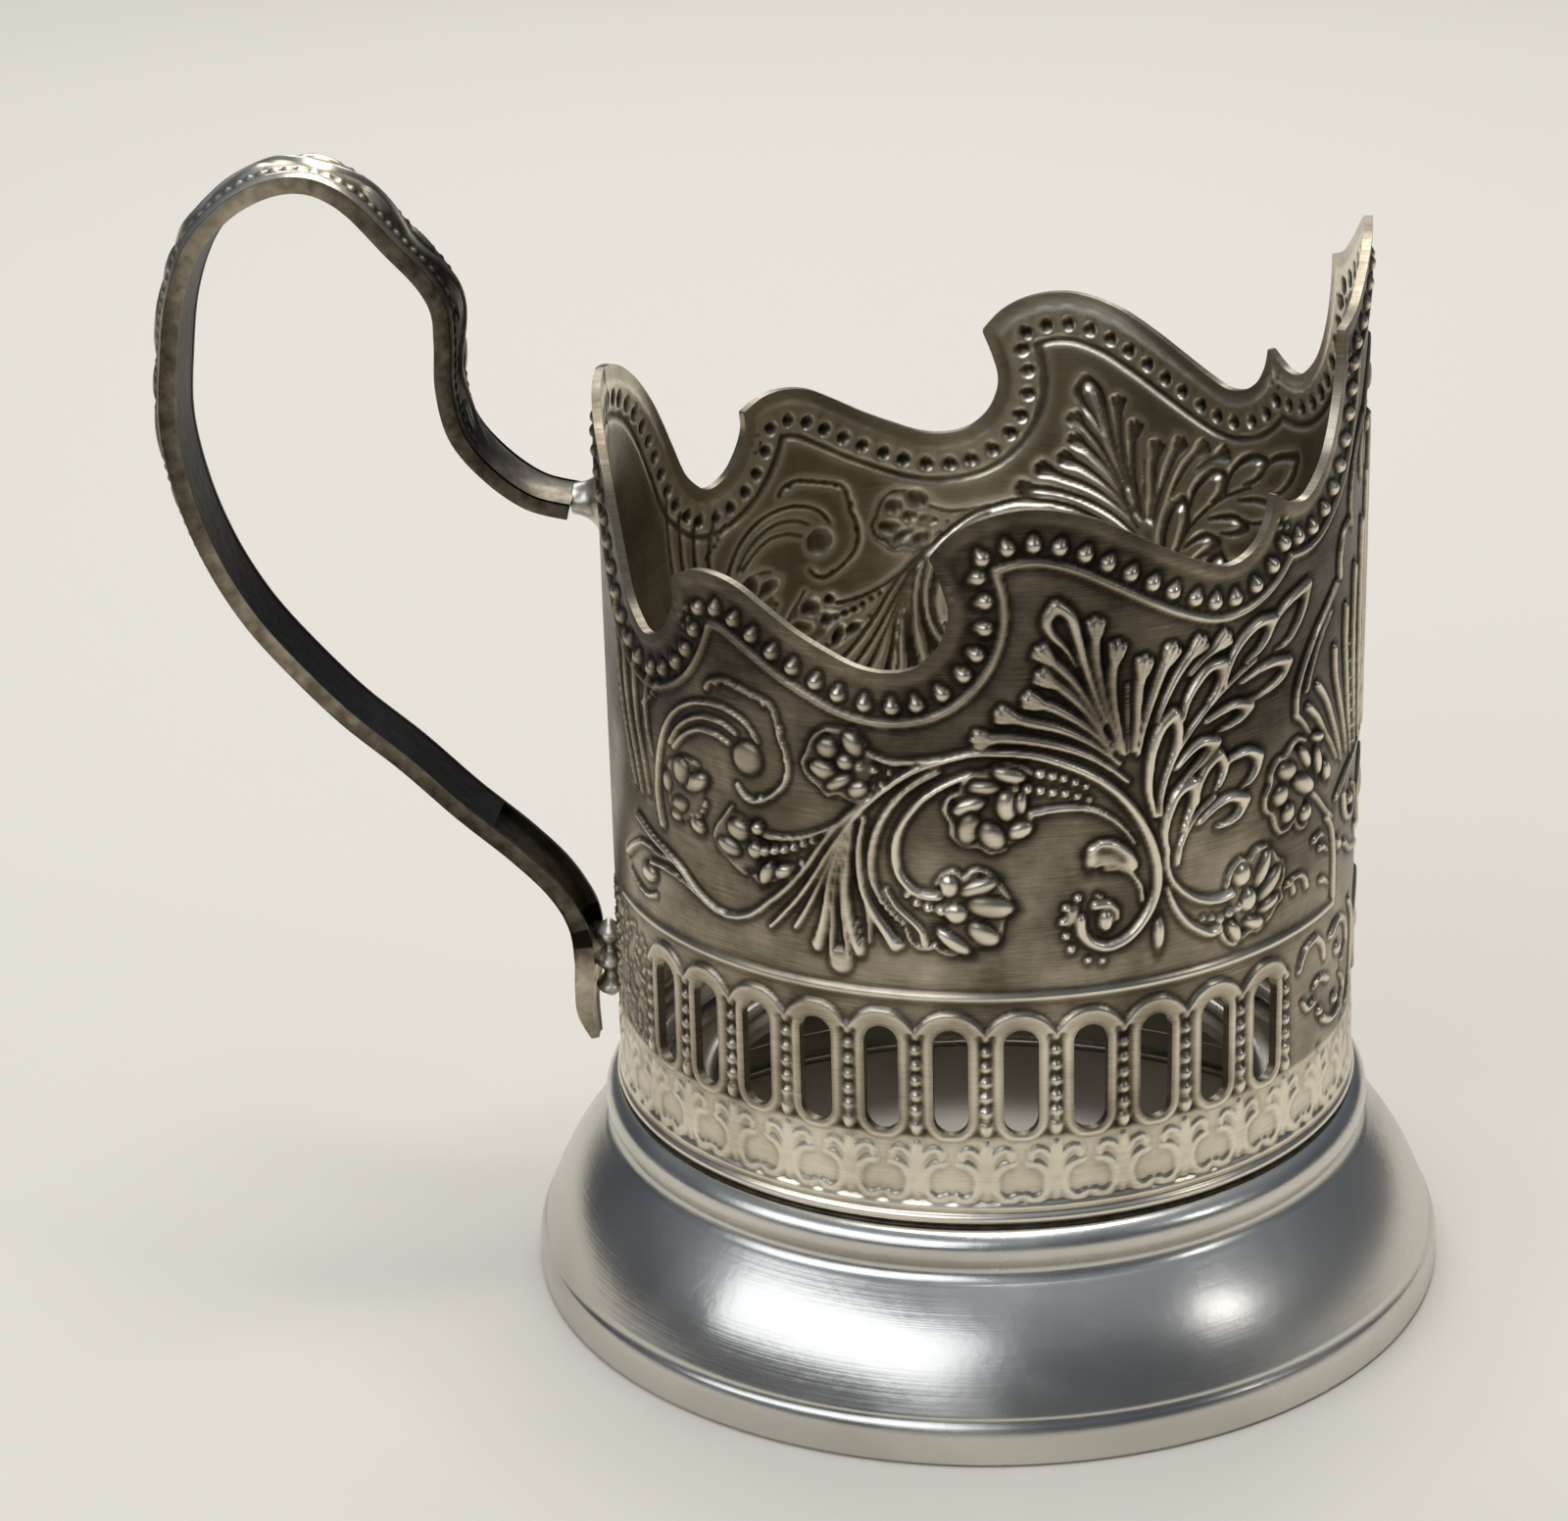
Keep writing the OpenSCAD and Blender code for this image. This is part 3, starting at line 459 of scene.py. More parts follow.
OVAL_MARGIN = 1  # mm of grid that is worked on round an oval
GROOVE_W, GROOVE_DEPTH, PETAL_LIFT = 0.13, 0.75, 0.1


def oval(s0, z0, a, b, turn):
    """The block of the grid round an oval with two half-widths, and for each point in it the
    share of the way from the oval's middle to its edge, which is 1 on the edge."""
    big = max(a, b) + OVAL_MARGIN
    block = window(np.array([s0, z0]) - big, np.array([s0, z0]) + big)
    c, n = math.cos(math.radians(turn)), math.sin(math.radians(turn))
    x, y = S[block] - s0, Z[block] - z0
    return block, np.hypot((x * c + y * n) / a, (y * c - x * n) / b)


def dome(s0, z0, a, b, turn, high):
    """An oval button: the square root of one less the squared share of the way to its edge."""
    block, share = oval(s0, z0, a, b, turn)
    press(block, high * np.sqrt(np.clip(1 - share**2, 0, 1)), (share - 1) * min(a, b))


def petal(s0, z0, a, b, turn, high):
    """A swollen petal. Its own oval outline is first cut as a fine groove into what lies there,
    so that petals that touch stay apart. The groove is a bell curve across its line."""
    a, b = a * PETAL_SWELL, b * PETAL_SWELL
    block, share = oval(s0, z0, a, b, turn)
    groove = np.exp(-(((share - 1) * min(a, b) / GROOVE_W) ** 2))
    relief[block] *= 1 - GROOVE_DEPTH * groove
    crease[block] = np.where(share < 1, 0, crease[block])
    crease[block] = np.maximum(crease[block], groove)
    dome(s0, z0, a, b, turn, high + PETAL_LIFT)


BEAD_H, BEAD_RISE = 0.35, 0.4  # height of a bead, and what each mm of its radius adds


def bead_row(r0, r1, count, points):
    """Round beads at even steps along a curve; their radius goes evenly from r0 to r1."""
    line = smooth(points, 8)
    run = np.concatenate([[0], np.cumsum(np.hypot(*np.diff(line, axis=0).T))])
    for share in np.linspace(0, 1, count):
        s0 = np.interp(share * run[-1], run, line[:, 0])
        z0 = np.interp(share * run[-1], run, line[:, 1])
        r = r0 + (r1 - r0) * share
        dome(s0, z0, r, r, 0, BEAD_H + r * BEAD_RISE)


LEAF_TIP_W, LEAF_END_WS, LEAF_LIFTS = 0.62, (0.22, 0.12), (0.12, 0.06)


def blade(high, upper, lower):
    """A leaf as the punch left it: a thick raised rim that is widest at the tip. It runs down
    one edge to the foot and about four fifths of the way down the other, round a hollow."""
    shortened = smooth(lower, 6)[: 4 * len(lower)]
    for edge, end_w, lift in zip((upper, shortened), LEAF_END_WS, LEAF_LIFTS):
        stem(LEAF_TIP_W, end_w, high + lift, edge)


GROUND_H, GROUND_SOFT, GROUND_MARGIN = 0.2, 0.12, 1.5
LOBES, LOBE_SHARE = 8, 0.05


def ground(s0, z0, a, b):
    """A low lobed ground under a flower: an oval whose size swells and shrinks eight times
    round it, with a soft shoulder."""
    lo = np.array([s0 - a - GROUND_MARGIN, z0 - b - GROUND_MARGIN])
    hi = np.array([s0 + a + GROUND_MARGIN, z0 + b + GROUND_MARGIN])
    block = window(lo, hi)
    x, y = (S[block] - s0) / a, (Z[block] - z0) / b
    gap = (np.hypot(x, y) - 1 - LOBE_SHARE * np.cos(LOBES * np.arctan2(y, x))) * min(a, b)
    press(block, GROUND_H / (1 + np.exp(np.clip(gap / GROUND_SOFT, -30, 30))), gap)


RIB_TIP_W, RIB_FOOT_W, RIB_H = 0.55, 0.22, 0.42
FROND_BACK, FROND_OUT, FROND_APART = 1.3, 0.75, 0.6  # mm behind and beyond the tip, and aside
FROND_FOOT_W, FROND_TIP_W, FROND_H = 0.16, 0.3, 0.5


def fan_rib(points):
    """A rib of the palm: a band that widens to its tip, which splits into three short fronds."""
    stem(RIB_TIP_W, RIB_FOOT_W, RIB_H, points)
    tip = np.array(points[0])
    way = np.subtract(points[0], points[1]) / np.hypot(*np.subtract(points[0], points[1]))
    side = np.array([-way[1], way[0]])
    for k in (-1, 0, 1):
        foot_at = tip - FROND_BACK * way + 0.1 * k * side
        tip_at = tip + (FROND_OUT - 0.25 * abs(k)) * way + FROND_APART * k * side
        bend = (foot_at + tip_at) / 2 + 0.12 * k * side
        stem(FROND_FOOT_W, FROND_TIP_W, FROND_H, [foot_at, bend, tip_at])


for row in FAN:
    fan_rib(row)
for row in LEAVES:
    blade(*row)
for row in GROUNDS:
    ground(*row)
for row in STEMS:
    stem(*row)
for row in PETALS:
    petal(*row)
for row in BUTTONS:
    dome(*row)
for row in BEAD_ROWS:
    bead_row(*row)

# The rim's border: a plain rolled band, a row of drop-shaped beads, and a raised line whose
# corners lie under the cusps, because it keeps the same distance from the edge all along.
BAND_W, BAND_H, BAND_SOFT = 1.25, 0.16, 0.12
LINE_IN, LINE_H, LINE_HALF = 4.7, 0.36, 0.3
BEAD_IN, BEAD_STEP, DROP_R, DROP_H = 3.2, 2.15, 0.72, 0.55
POINT_OUT, POINT_LONG, POINT_WIDE, POINT_H = 0.4, 0.6, 0.45, 0.3  # the drop's outer point
SLACK = 0.06  # mm by which a bead may be nearer to the rim than its row
JUMP = 1.5  # mm between two kept places, past which a corner was left out
way = np.gradient(rim, axis=0)
way /= np.hypot(*way.T)[:, None] + 1e-12
inward = rim + BEAD_IN * np.stack([way[:, 1], -way[:, 0]], 1)
d, _, _ = nearest(inward, rim)
keep = (d > BEAD_IN - SLACK) & under(inward, rim)
run = 0.0
last = None
for p, ok in zip(inward, keep):
    if not ok:
        continue
    if last is not None:
        step = float(np.hypot(*(p - last)))
        run = run + step if step < JUMP else BEAD_STEP
    if last is None or run >= BEAD_STEP:
        if -1 < p[0] < HALF_TURN_MM + 1:
            out_way = (rim[np.hypot(*(rim - p).T).argmin()] - p) / BEAD_IN
            lean = math.degrees(math.atan2(out_way[1], out_way[0]))
            dome(p[0], p[1], DROP_R, DROP_R, 0, DROP_H)
            point = p + POINT_OUT * out_way
            dome(point[0], point[1], POINT_LONG, POINT_WIDE, lean, POINT_H)
        run = 0.0
    last = p
# Five small dots lie inside each cusp, whose row is the one after each gap in RIM.
CUSP_DOTS = [(-1.6, -2.6), (-0.9, -3.3), (-1.9, -3.5), (-1.2, -4.3), (-0.5, -2.5)]
DOT_R, DOT_H = 0.28, 0.35
for turn, share in [RIM[at + 1] for at, row in enumerate(RIM) if row is None]:
    s0, z0 = math.radians(turn) * BODY_R, RIM_LOW + share * CROWN
    for x, y in CUSP_DOTS:
        dome(s0 + x, z0 + y, DOT_R, DOT_R, 0, DOT_H)
line_h = LINE_H * np.exp(-(((rim_d - LINE_IN) / LINE_HALF) ** 2))
band_h = BAND_H / (1 + np.exp((rim_d - BAND_W) / BAND_SOFT))
relief = np.maximum(relief, line_h + band_h)
edge_gap = np.minimum(edge_gap, np.abs(rim_d - LINE_IN) - LINE_HALF)

# The pierced band: a pad with a round arch over every slot, beads between the pads, and a
# ring line above. Below them, all the way round, runs a band of small C scrolls and lilies
# in step with the slots.
PAD_W, PAD_H, PAD_LOW, PAD_TOP, STEP_SOFT = 0.85, 0.3, 27.8, 41.2, 0.08
ARCH_R, ARCH_MID, ARCH_FROM = 3.35, 37.1, 1.2
END_SHARE = 0.62  # how far the pads run on past the end slots, as a share of the pitch
slot_d, slot_s, slot_z = slot_distance(S, Z)
first_arc, last_arc = SLOT_ARCS[0], SLOT_ARCS[-1]
in_band = (S > first_arc - SLOT_PITCH * END_SHARE) & (S < last_arc + SLOT_PITCH * END_SHARE)


def step_up(gap):
    """A flat pad's edge: from nothing outside to one inside, over a soft shoulder."""
    return 1 / (1 + np.exp(np.clip(gap / STEP_SOFT, -30, 30)))


arch_gap = np.hypot(S - slot_s, Z - ARCH_MID) - ARCH_R
arch_gap = np.where(Z > ARCH_MID + ARCH_FROM, arch_gap, NO_EDGE)
pad_gap = np.minimum(slot_d - PAD_W, arch_gap)
BEVEL_W, BEVEL_LEFT = 0.35, 0.55  # the pad slopes to this share of its height at the slot
pad = PAD_H * step_up(pad_gap)
pad = pad * (BEVEL_LEFT + (1 - BEVEL_LEFT) * np.clip(slot_d / BEVEL_W, 0, 1))
LIP_H, LIP_IN, LIP_W, LIP_LOW = 0.07, 0.25, 0.2, 28
lip = LIP_H * np.exp(-(((pad_gap + LIP_IN) / LIP_W) ** 2)) * (Z > LIP_LOW)
slot_zone = in_band & (Z < PAD_TOP) & (Z > PAD_LOW)
relief = np.maximum(relief, np.where(slot_zone, pad + lip, 0))
edge_gap = np.where(slot_zone, np.minimum(edge_gap, np.abs(pad_gap + 0.1)), edge_gap)
COLUMN_TOP, COLUMN_LOW, COLUMN_BEADS = 38, 29.2, 7
for s0 in np.append(SLOT_ARCS - SLOT_PITCH / 2, last_arc + SLOT_PITCH / 2):
    for k, z0 in enumerate(np.linspace(COLUMN_TOP, COLUMN_LOW, COLUMN_BEADS)):
        r = 0.42 + 0.035 * k
        tall = r * 1.15 if k < COLUMN_BEADS - 1 else 0.9
        dome(s0, z0, r, tall, 0, 0.34 + 0.03 * k)
# Each of the lower band's curls, as mm aside from its middle and mm up.
C_SCROLL = [(0.9, 25.6), (1.7, 25.3), (2.3, 24.5), (2.45, 23.5), (2.1, 22.6), (1.2, 22.1),
            (0.4, 22.4)]
LILY_LEAF = [(2.9, 24.6), (2.75, 25.8), (2, 26.8), (1.3, 27), (0.9, 26.5)]
all_arcs = SLOT_ARCS[0] + SLOT_PITCH * np.arange(-7, 19)
all_arcs = all_arcs[(all_arcs > -2) & (all_arcs < HALF_TURN_MM - 3)]
for s0 in all_arcs:
    for m in (-1, 1):
        stem(0.5, 0.4, 0.2, [(s0 + m * x, z) for x, z in C_SCROLL])
        stem(0.45, 0.35, 0.18, [(s0 + m * x, z) for x, z in LILY_LEAF])
for s0 in np.append(all_arcs - SLOT_PITCH / 2, all_arcs[-1] + SLOT_PITCH / 2):
    dome(s0, 26.8, 0.5, 1.2, 0, 0.24)
    dome(s0, 23.3, 0.5, 1.3, 0, 0.2)
RING_Z, RING_H, RING_W, RING_EDGE_AT = 41.85, 0.36, 0.36, 0.35
RING_FROM, RING_TO = 12.6, 96.6
ring_zone = (S > RING_FROM) & (S < RING_TO)
ring = RING_H * np.exp(-(((Z - RING_Z) / RING_W) ** 2)) * ring_zone
relief = np.maximum(relief, ring)
ring_gap = np.where(ring_zone, np.abs(Z - RING_Z) - RING_EDGE_AT, NO_EDGE)
edge_gap = np.minimum(edge_gap, ring_gap)

# The panels beside the slots: the handle's one is pricked with dots at random places, and the
# front one has low scrolls.
PRICKS, PRICK_H, PRICK_ROOM, SEAM_ROOM = 150, 0.22, 4.3, 3
PRICK_LOW, PRICK_TOP = 28.6, 40.6
rng = np.random.default_rng(7)
for _ in range(PRICKS):
    s0 = rng.uniform(last_arc + PRICK_ROOM, HALF_TURN_MM - SEAM_ROOM)
    z0 = rng.uniform(PRICK_LOW, PRICK_TOP)
    dome(s0, z0, DOT_R, DOT_R, 0, PRICK_H)
FRONT_SCROLLS = [
    [(13.6, 34.6), (15.4, 35.3), (16.6, 34.8)], [(16.6, 33.4), (17.8, 33.2), (18.6, 34.2)],
    [(13, 38.6), (11, 39.4), (8.6, 38.4), (8, 36.2), (9.6, 34.8)],
    [(14.6, 31), (12.6, 30), (10, 30.4), (8.8, 32.2), (10, 33.6)],
    [(0, 40), (2.4, 38.4), (3.6, 35.6), (2.8, 32.4), (0, 29.8)],
    [(7, 39.8), (5.6, 37.8), (5.4, 34.8), (6, 31.6), (7.4, 29.6)],
    [(16.4, 39.8), (14.9, 38.6), (14.4, 36.8)], [(16.4, 39.8), (18.4, 39.2), (19.4, 37.4)],
]
for row in FRONT_SCROLLS:
    stem(0.4, 0.2, 0.35, row)
for s0, z0, r in [(15.3, 32, 0.5), (0, 35, 1.3), (11, 36.6, 0.7), (11.6, 31.8, 0.6)]:
    dome(s0, z0, r, r, 0, 0.4)

# The lower edge: a rolled ridge, a fine groove and a thinner ridge above. Each ridge: height
# up, half its width, and how far it stands out.
for z0, half, high in [(20.3, 0.6, 0.55), (21.4, 0.4, 0.38)]:
    relief = np.maximum(relief, high * np.sqrt(np.clip(1 - ((Z - z0) / half) ** 2, 0, 1)))

# Round every form the ground is sunk by a fine line, which is shallower in the lower band.
LOW_BAND_TOP = 28.2
SUNK, SUNK_LESS, SUNK_AT, SUNK_W, LOWEST_FORM = 0.12, 0.07, 0.22, 0.25, 0.02
low_band = step_up(Z - LOW_BAND_TOP)
sunk = (SUNK - SUNK_LESS * low_band) * np.exp(-(((edge_gap - SUNK_AT) / SUNK_W) ** 2))
relief = np.where(relief > LOWEST_FORM, relief, -sunk)


def blur(field, reach, rounds=3):
    """A repeated running mean over a square of twice the reach and one."""
    for _ in range(rounds):
        for axis in (0, 1):
            pad_width = [(0, 0), (0, 0)]
            pad_width[axis] = (reach + 1, reach)
            total = np.cumsum(np.pad(field, pad_width, mode="edge"), axis=axis)
            n = field.shape[axis]
            take = [slice(None), slice(None)]
            upper, lower = list(take), list(take)
            upper[axis], lower[axis] = slice(2 * reach + 1, 2 * reach + 1 + n), slice(0, n)
            field = (total[tuple(upper)] - total[tuple(lower)]) / (2 * reach + 1)
    return field


SOFT_SHARE = 0.55  # how much of the relief is softened, as a stamped sheet's edges are
relief = blur(relief, 1, 1) * SOFT_SHARE + relief * (1 - SOFT_SHARE)
inner_relief = np.maximum(blur(relief, 1, 2), 0)
proud = relief - blur(relief, 3)

# How bright the metal is, read by its colour ramp. The ground is palest in the lower band and
# a little darker higher up. What stands proud is made brighter, partly as wear from rubbing and
# partly as a painted highlight, most of all towards the tip, less on the upper scrolls and in the
# lower band. Outlines and creases stay dark.
GROUND_TONE, LOW_BAND_TONE, HEIGHT_TONE = 0.52, 0.4, 0.09
MIDDLE_Z, HEIGHT_SPAN = 57, 13
RUB, FRONT_WEAR_AND_HIGHLIGHT, UPPER_LESS, HOLLOW_RUB, LOW_BAND_LESS = 1.2, 0.7, 0.35, 0.8, 0.5
OUTLINE_TONE, OUTLINE_AT, OUTLINE_W, CREASE_TONE = 0.1, 0.2, 0.17, 0.15
tone = GROUND_TONE + LOW_BAND_TONE * low_band
tone += HEIGHT_TONE * np.clip((MIDDLE_Z - Z) / HEIGHT_SPAN, -1, 1) * (1 - low_band)
proud_gain_wear_and_highlight = RUB + FRONT_WEAR_AND_HIGHLIGHT * np.clip((70 - S) / 20, 0, 1)
proud_gain_wear_and_highlight *= 1 - UPPER_LESS * np.clip((Z - 63) / 5, 0, 1) * np.clip((S - 36) / 4, 0, 1)
outline = OUTLINE_TONE * np.exp(-(((edge_gap - OUTLINE_AT) / OUTLINE_W) ** 2)) * (relief < 0.03)
raised = np.where(proud > 0, proud_gain_wear_and_highlight * (1 - LOW_BAND_LESS * low_band), HOLLOW_RUB) * proud + tone
raised -= outline * (1 - 0.6 * low_band) + CREASE_TONE * crease

# Inside, the forms are hollows that keep the dark patina. The rest is painted light: the whole
# inside is made lighter, a little more in the lower band, to stand in for the lamp light that
# hardly reaches in, and the grooves between the forms, which stand out as ridges inside, the
# creases and the band by the rim carry painted highlights.
INNER_TONE, INNER_BAND_TONE, INNER_RIM_HIGHLIGHT, INNER_CREASE_HIGHLIGHT = 0.7, 0.1, 0.12, 0.1
inside_tone_and_painted_light = np.where(proud > 0, -0.9, -3.6) * proud + INNER_TONE + INNER_BAND_TONE * low_band
inside_tone_and_painted_light += INNER_RIM_HIGHLIGHT * step_up(rim_d - 1.9) + INNER_CREASE_HIGHLIGHT * crease


def hex_linear(code):
    """An sRGB hex colour as linear red, green, blue and one."""
    c = np.array([int(code[i:i + 2], 16) / 255 for i in (1, 3, 5)])
    c = np.where(c <= 0.04045, c / 12.92, ((c + 0.055) / 1.055) ** 2.4)
    return (*[float(v) for v in c], 1.0)


def empty_nodes(owner):
    """Gives a material or the world an empty node tree."""
    owner.use_nodes = True
    owner.node_tree.nodes.clear()
    return owner


def add(m, kind, links=None, stops=None, **settings):
    """Adds a node. Settings are node properties, or in_NAME and in_NUMBER for its sockets.
    Links are (output socket, input name or number) pairs, and stops are the places and
    colours on a colour ramp."""
    n = m.node_tree.nodes.new(kind)
    for key, value in settings.items():
        if key.startswith("in_"):
            key = key[3:]
            n.inputs[int(key) if key.isdigit() else key.replace("_", " ")].default_value = value
        else:
            setattr(n, key, value)
    for out, name in links or []:
        m.node_tree.links.new(out, n.inputs[name])
    if stops:
        elements = n.color_ramp.elements
        elements[0].position, elements[0].color = stops[0]
        elements[-1].position, elements[-1].color = stops[-1]
        for place, colour in stops[1:-1]:
            elements.new(place).color = colour
    return n


RUBS_PER_M, RUB_FLATNESS = 260.0, 30.0  # rubs about 4 mm long and 0.13 mm high
GRAINS_PER_M = 1800.0  # grains of 0.56 mm: the real pits are finer, but wouldn't show


def dark_nickel_silver(name, streaks, blotch, blotches_per_m):
    """Nickel silver that was stamped, darkened in a bath and made bright by rubbing on the relief:
    pale warm highlights over brown hollows. The pale end also shows the painted highlights and the
    painted light inside that the attribute carries. The two numbers after the name say how much
    the fine level streaks and the blotches shift the tone."""
    m = empty_nodes(bpy.data.materials.new(name))
    height = add(m, "ShaderNodeAttribute", attribute_name="raised")
    where = add(m, "ShaderNodeTexCoord")
    clouds = add(m, "ShaderNodeTexNoise", [(where.outputs["Object"], "Vector")],
                 in_Scale=blotches_per_m, in_Detail=5.0, in_Roughness=0.6)
    grain = add(m, "ShaderNodeTexNoise", [(where.outputs["Object"], "Vector")],
                in_Scale=GRAINS_PER_M, in_Detail=3.0, in_Roughness=0.6)
    shift = add(m, "ShaderNodeMapRange", [(clouds.outputs["Fac"], "Value")],
                in_1=0.3, in_2=0.7, in_3=-blotch, in_4=blotch)
    level = add(m, "ShaderNodeMapping", [(where.outputs["Object"], "Vector")],
                in_Scale=(1.0, 1.0, RUB_FLATNESS))
    rubs = add(m, "ShaderNodeTexNoise", [(level.outputs["Vector"], "Vector")],
               in_Scale=RUBS_PER_M, in_Detail=4.0, in_Roughness=0.65)
    rub_shift = add(m, "ShaderNodeMapRange", [(rubs.outputs["Fac"], "Value")],
                    in_1=0.35, in_2=0.72, in_3=-streaks, in_4=streaks)
    dirt = add(m, "ShaderNodeMath", [(shift.outputs[0], 0), (rub_shift.outputs[0], 1)],
               operation="ADD")
    total = add(m, "ShaderNodeMath", [(height.outputs["Fac"], 0), (dirt.outputs[0], 1)],
                operation="ADD")
    ramp = add(m, "ShaderNodeValToRGB", [(total.outputs[0], "Fac")],
               stops=[(0.16, hex_linear("#1d1915")), (0.34, hex_linear("#3d372e")),
                      (0.5, hex_linear("#6b6253")), (0.66, hex_linear("#a09683")),
                      (0.98, hex_linear("#e8e0cd"))])
    rough = add(m, "ShaderNodeMapRange", [(total.outputs[0], "Value")],
                in_1=0.3, in_2=0.8, in_3=0.46, in_4=0.28)
    bump = add(m, "ShaderNodeBump", [(grain.outputs["Fac"], "Height")],
               in_Strength=0.3, in_Distance=0.04 * MM)
    bsdf = add(m, "ShaderNodeBsdfPrincipled",
               [(ramp.outputs["Color"], "Base Color"), (rough.outputs[0], "Roughness"),
                (bump.outputs["Normal"], "Normal")], in_Metallic=1.0)
    add(m, "ShaderNodeOutputMaterial", [(bsdf.outputs[0], "Surface")])
    return m


BODY_BLOTCHES_PER_M = 90.0  # blotches of 11 mm
body_metal = dark_nickel_silver("darkened nickel silver, with wear and painted light", 0.05, 0.13,
                                BODY_BLOTCHES_PER_M)


def mesh_object(name, verts, faces, material, smooth_faces=True, attrs=None, normals=None):
    """A mesh object from whole arrays: vertices in metres and four-sided faces; -1 as the
    last corner makes a three-sided one."""
    me = bpy.data.meshes.new(name)
    verts = np.asarray(verts, np.float32)
    faces = np.asarray(faces, np.int32)
    count = np.where(faces[:, 3] < 0, 3, 4).astype(np.int32)
    loops = faces.ravel()
    loops = loops[loops >= 0]
    me.vertices.add(len(verts))
    me.vertices.foreach_set("co", verts.ravel())
    me.loops.add(len(loops))
    me.loops.foreach_set("vertex_index", loops)
    me.polygons.add(len(faces))
    starts = np.concatenate([[0], np.cumsum(count)[:-1]]).astype(np.int32)
    me.polygons.foreach_set("loop_start", starts)
    me.polygons.foreach_set("loop_total", count)
    me.update(calc_edges=True)
    me.validate()
    me.polygons.foreach_set("use_smooth", np.full(len(me.polygons), smooth_faces))
    for key, values in (attrs or {}).items():
        data = me.attributes.new(key, "FLOAT", "POINT").data
        data.foreach_set("value", np.asarray(values, np.float32))
    if normals is not None:
        me.normals_split_custom_set_from_vertices([tuple(n) for n in np.asarray(normals, float)])
    me.materials.append(material)
    ob = bpy.data.objects.new(name, me)
    bpy.context.scene.collection.objects.link(ob)
    return ob


# Cells that are metal, and the grid's points with those on an edge moved onto it. A point is on
# an edge where some of the cells round it are metal, but not all.
mid_s, mid_z = (S[:-1, :-1] + S[1:, 1:]) / 2, (Z[:-1, :-1] + Z[1:, 1:]) / 2
mid_rim = (rim_d[:-1, :-1] + rim_d[1:, :-1] + rim_d[:-1, 1:] + rim_d[1:, 1:]) / 4
metal = (mid_rim > 0) & (slot_distance(mid_s, mid_z)[0] > 0)
touch = np.zeros(S.shape, int)
for di in (0, 1):
    for dk in (0, 1):
        touch[di:S.shape[0] - 1 + di, dk:S.shape[1] - 1 + dk] += metal
full = np.full(S.shape, 4)
full[[0, -1], :] = 2
full[:, [0, -1]] = 2
full[0, 0] = full[-1, 0] = 1
on_edge = (touch > 0) & (touch < full)
S_set, Z_set = S.copy(), Z.copy()
at_rim = on_edge & (np.abs(rim_d) < np.abs(slot_d))
places = rim_place.reshape(*S.shape, 2)
between = at_rim.copy()
between[[0, -1], :] = False
S_set[between], Z_set[between] = places[between].T
for col in (0, -1):
    Z_set[col, at_rim[col]] = RIM_LOW + CROWN * RIM[col][1]
at_slot = on_edge & ~at_rim & (slot_d < 1)
way_s, way_z = S - slot_s, Z - slot_z
size = np.hypot(way_s, way_z) + 1e-9
S_set[at_slot] = (slot_s + way_s / size * SLOT_W / 2)[at_slot]
Z_set[at_slot] = (slot_z + way_z / size * SLOT_W / 2)[at_slot]


def skin(field, base_r, side, outward):
    """Points and normals of one skin on one side: radius is the base plus the relief, and the
    normal leans against the relief's slopes along and up."""
    turn = side * S_set / BODY_R
    r = base_r + field
    slope_s, slope_z = np.gradient(field, s_axis, z_axis)
    c, n = np.cos(turn), np.sin(turn)
    pts = np.stack([r * c, r * n, Z_set], -1) * MM
    k = slope_s * side
    nor = np.stack([c + k * n, n - k * c, -slope_z], -1) * outward
    nor /= np.linalg.norm(nor, axis=-1, keepdims=True)
    return pts, nor


SECTORS = 4
# The cut edges are paler, partly as wear and partly as a painted highlight along them.
EDGE_WEAR_AND_HIGHLIGHT = 0.6  # how bright the cut edges are
# The four sides of a cell: its two corners, and the step to the cell beyond it.
CELL_SIDES = [((0, 0), (1, 0), (0, -1)), ((1, 0), (1, 1), (1, 0)),
              ((1, 1), (0, 1), (0, 1)), ((0, 1), (0, 0), (-1, 0))]


def free_edges(ids, first_col, i, k):
    """The sides of the cells i, k that have no metal beyond them, as pairs of points with the
    metal on their left. At the tip the next cell is the mirrored one, so no side is free."""
    last_i, last_k = metal.shape[0] - 1, metal.shape[1] - 1
    pairs = []
    for a, b, step in CELL_SIDES:
        next_i, next_k = i + first_col + step[0], k + step[1]
        next_metal = metal[np.clip(next_i, 0, last_i), np.clip(next_k, 0, last_k)]
        free = (next_k < 0) | (next_k > last_k) | (next_i > last_i)
        free |= (next_i >= 0) & ~next_metal
        start = ids[i[free] + a[0], k[free] + a[1]]
        end = ids[i[free] + b[0], k[free] + b[1]]
        pairs.append(np.stack([start, end], 1))
    return np.vstack(pairs)


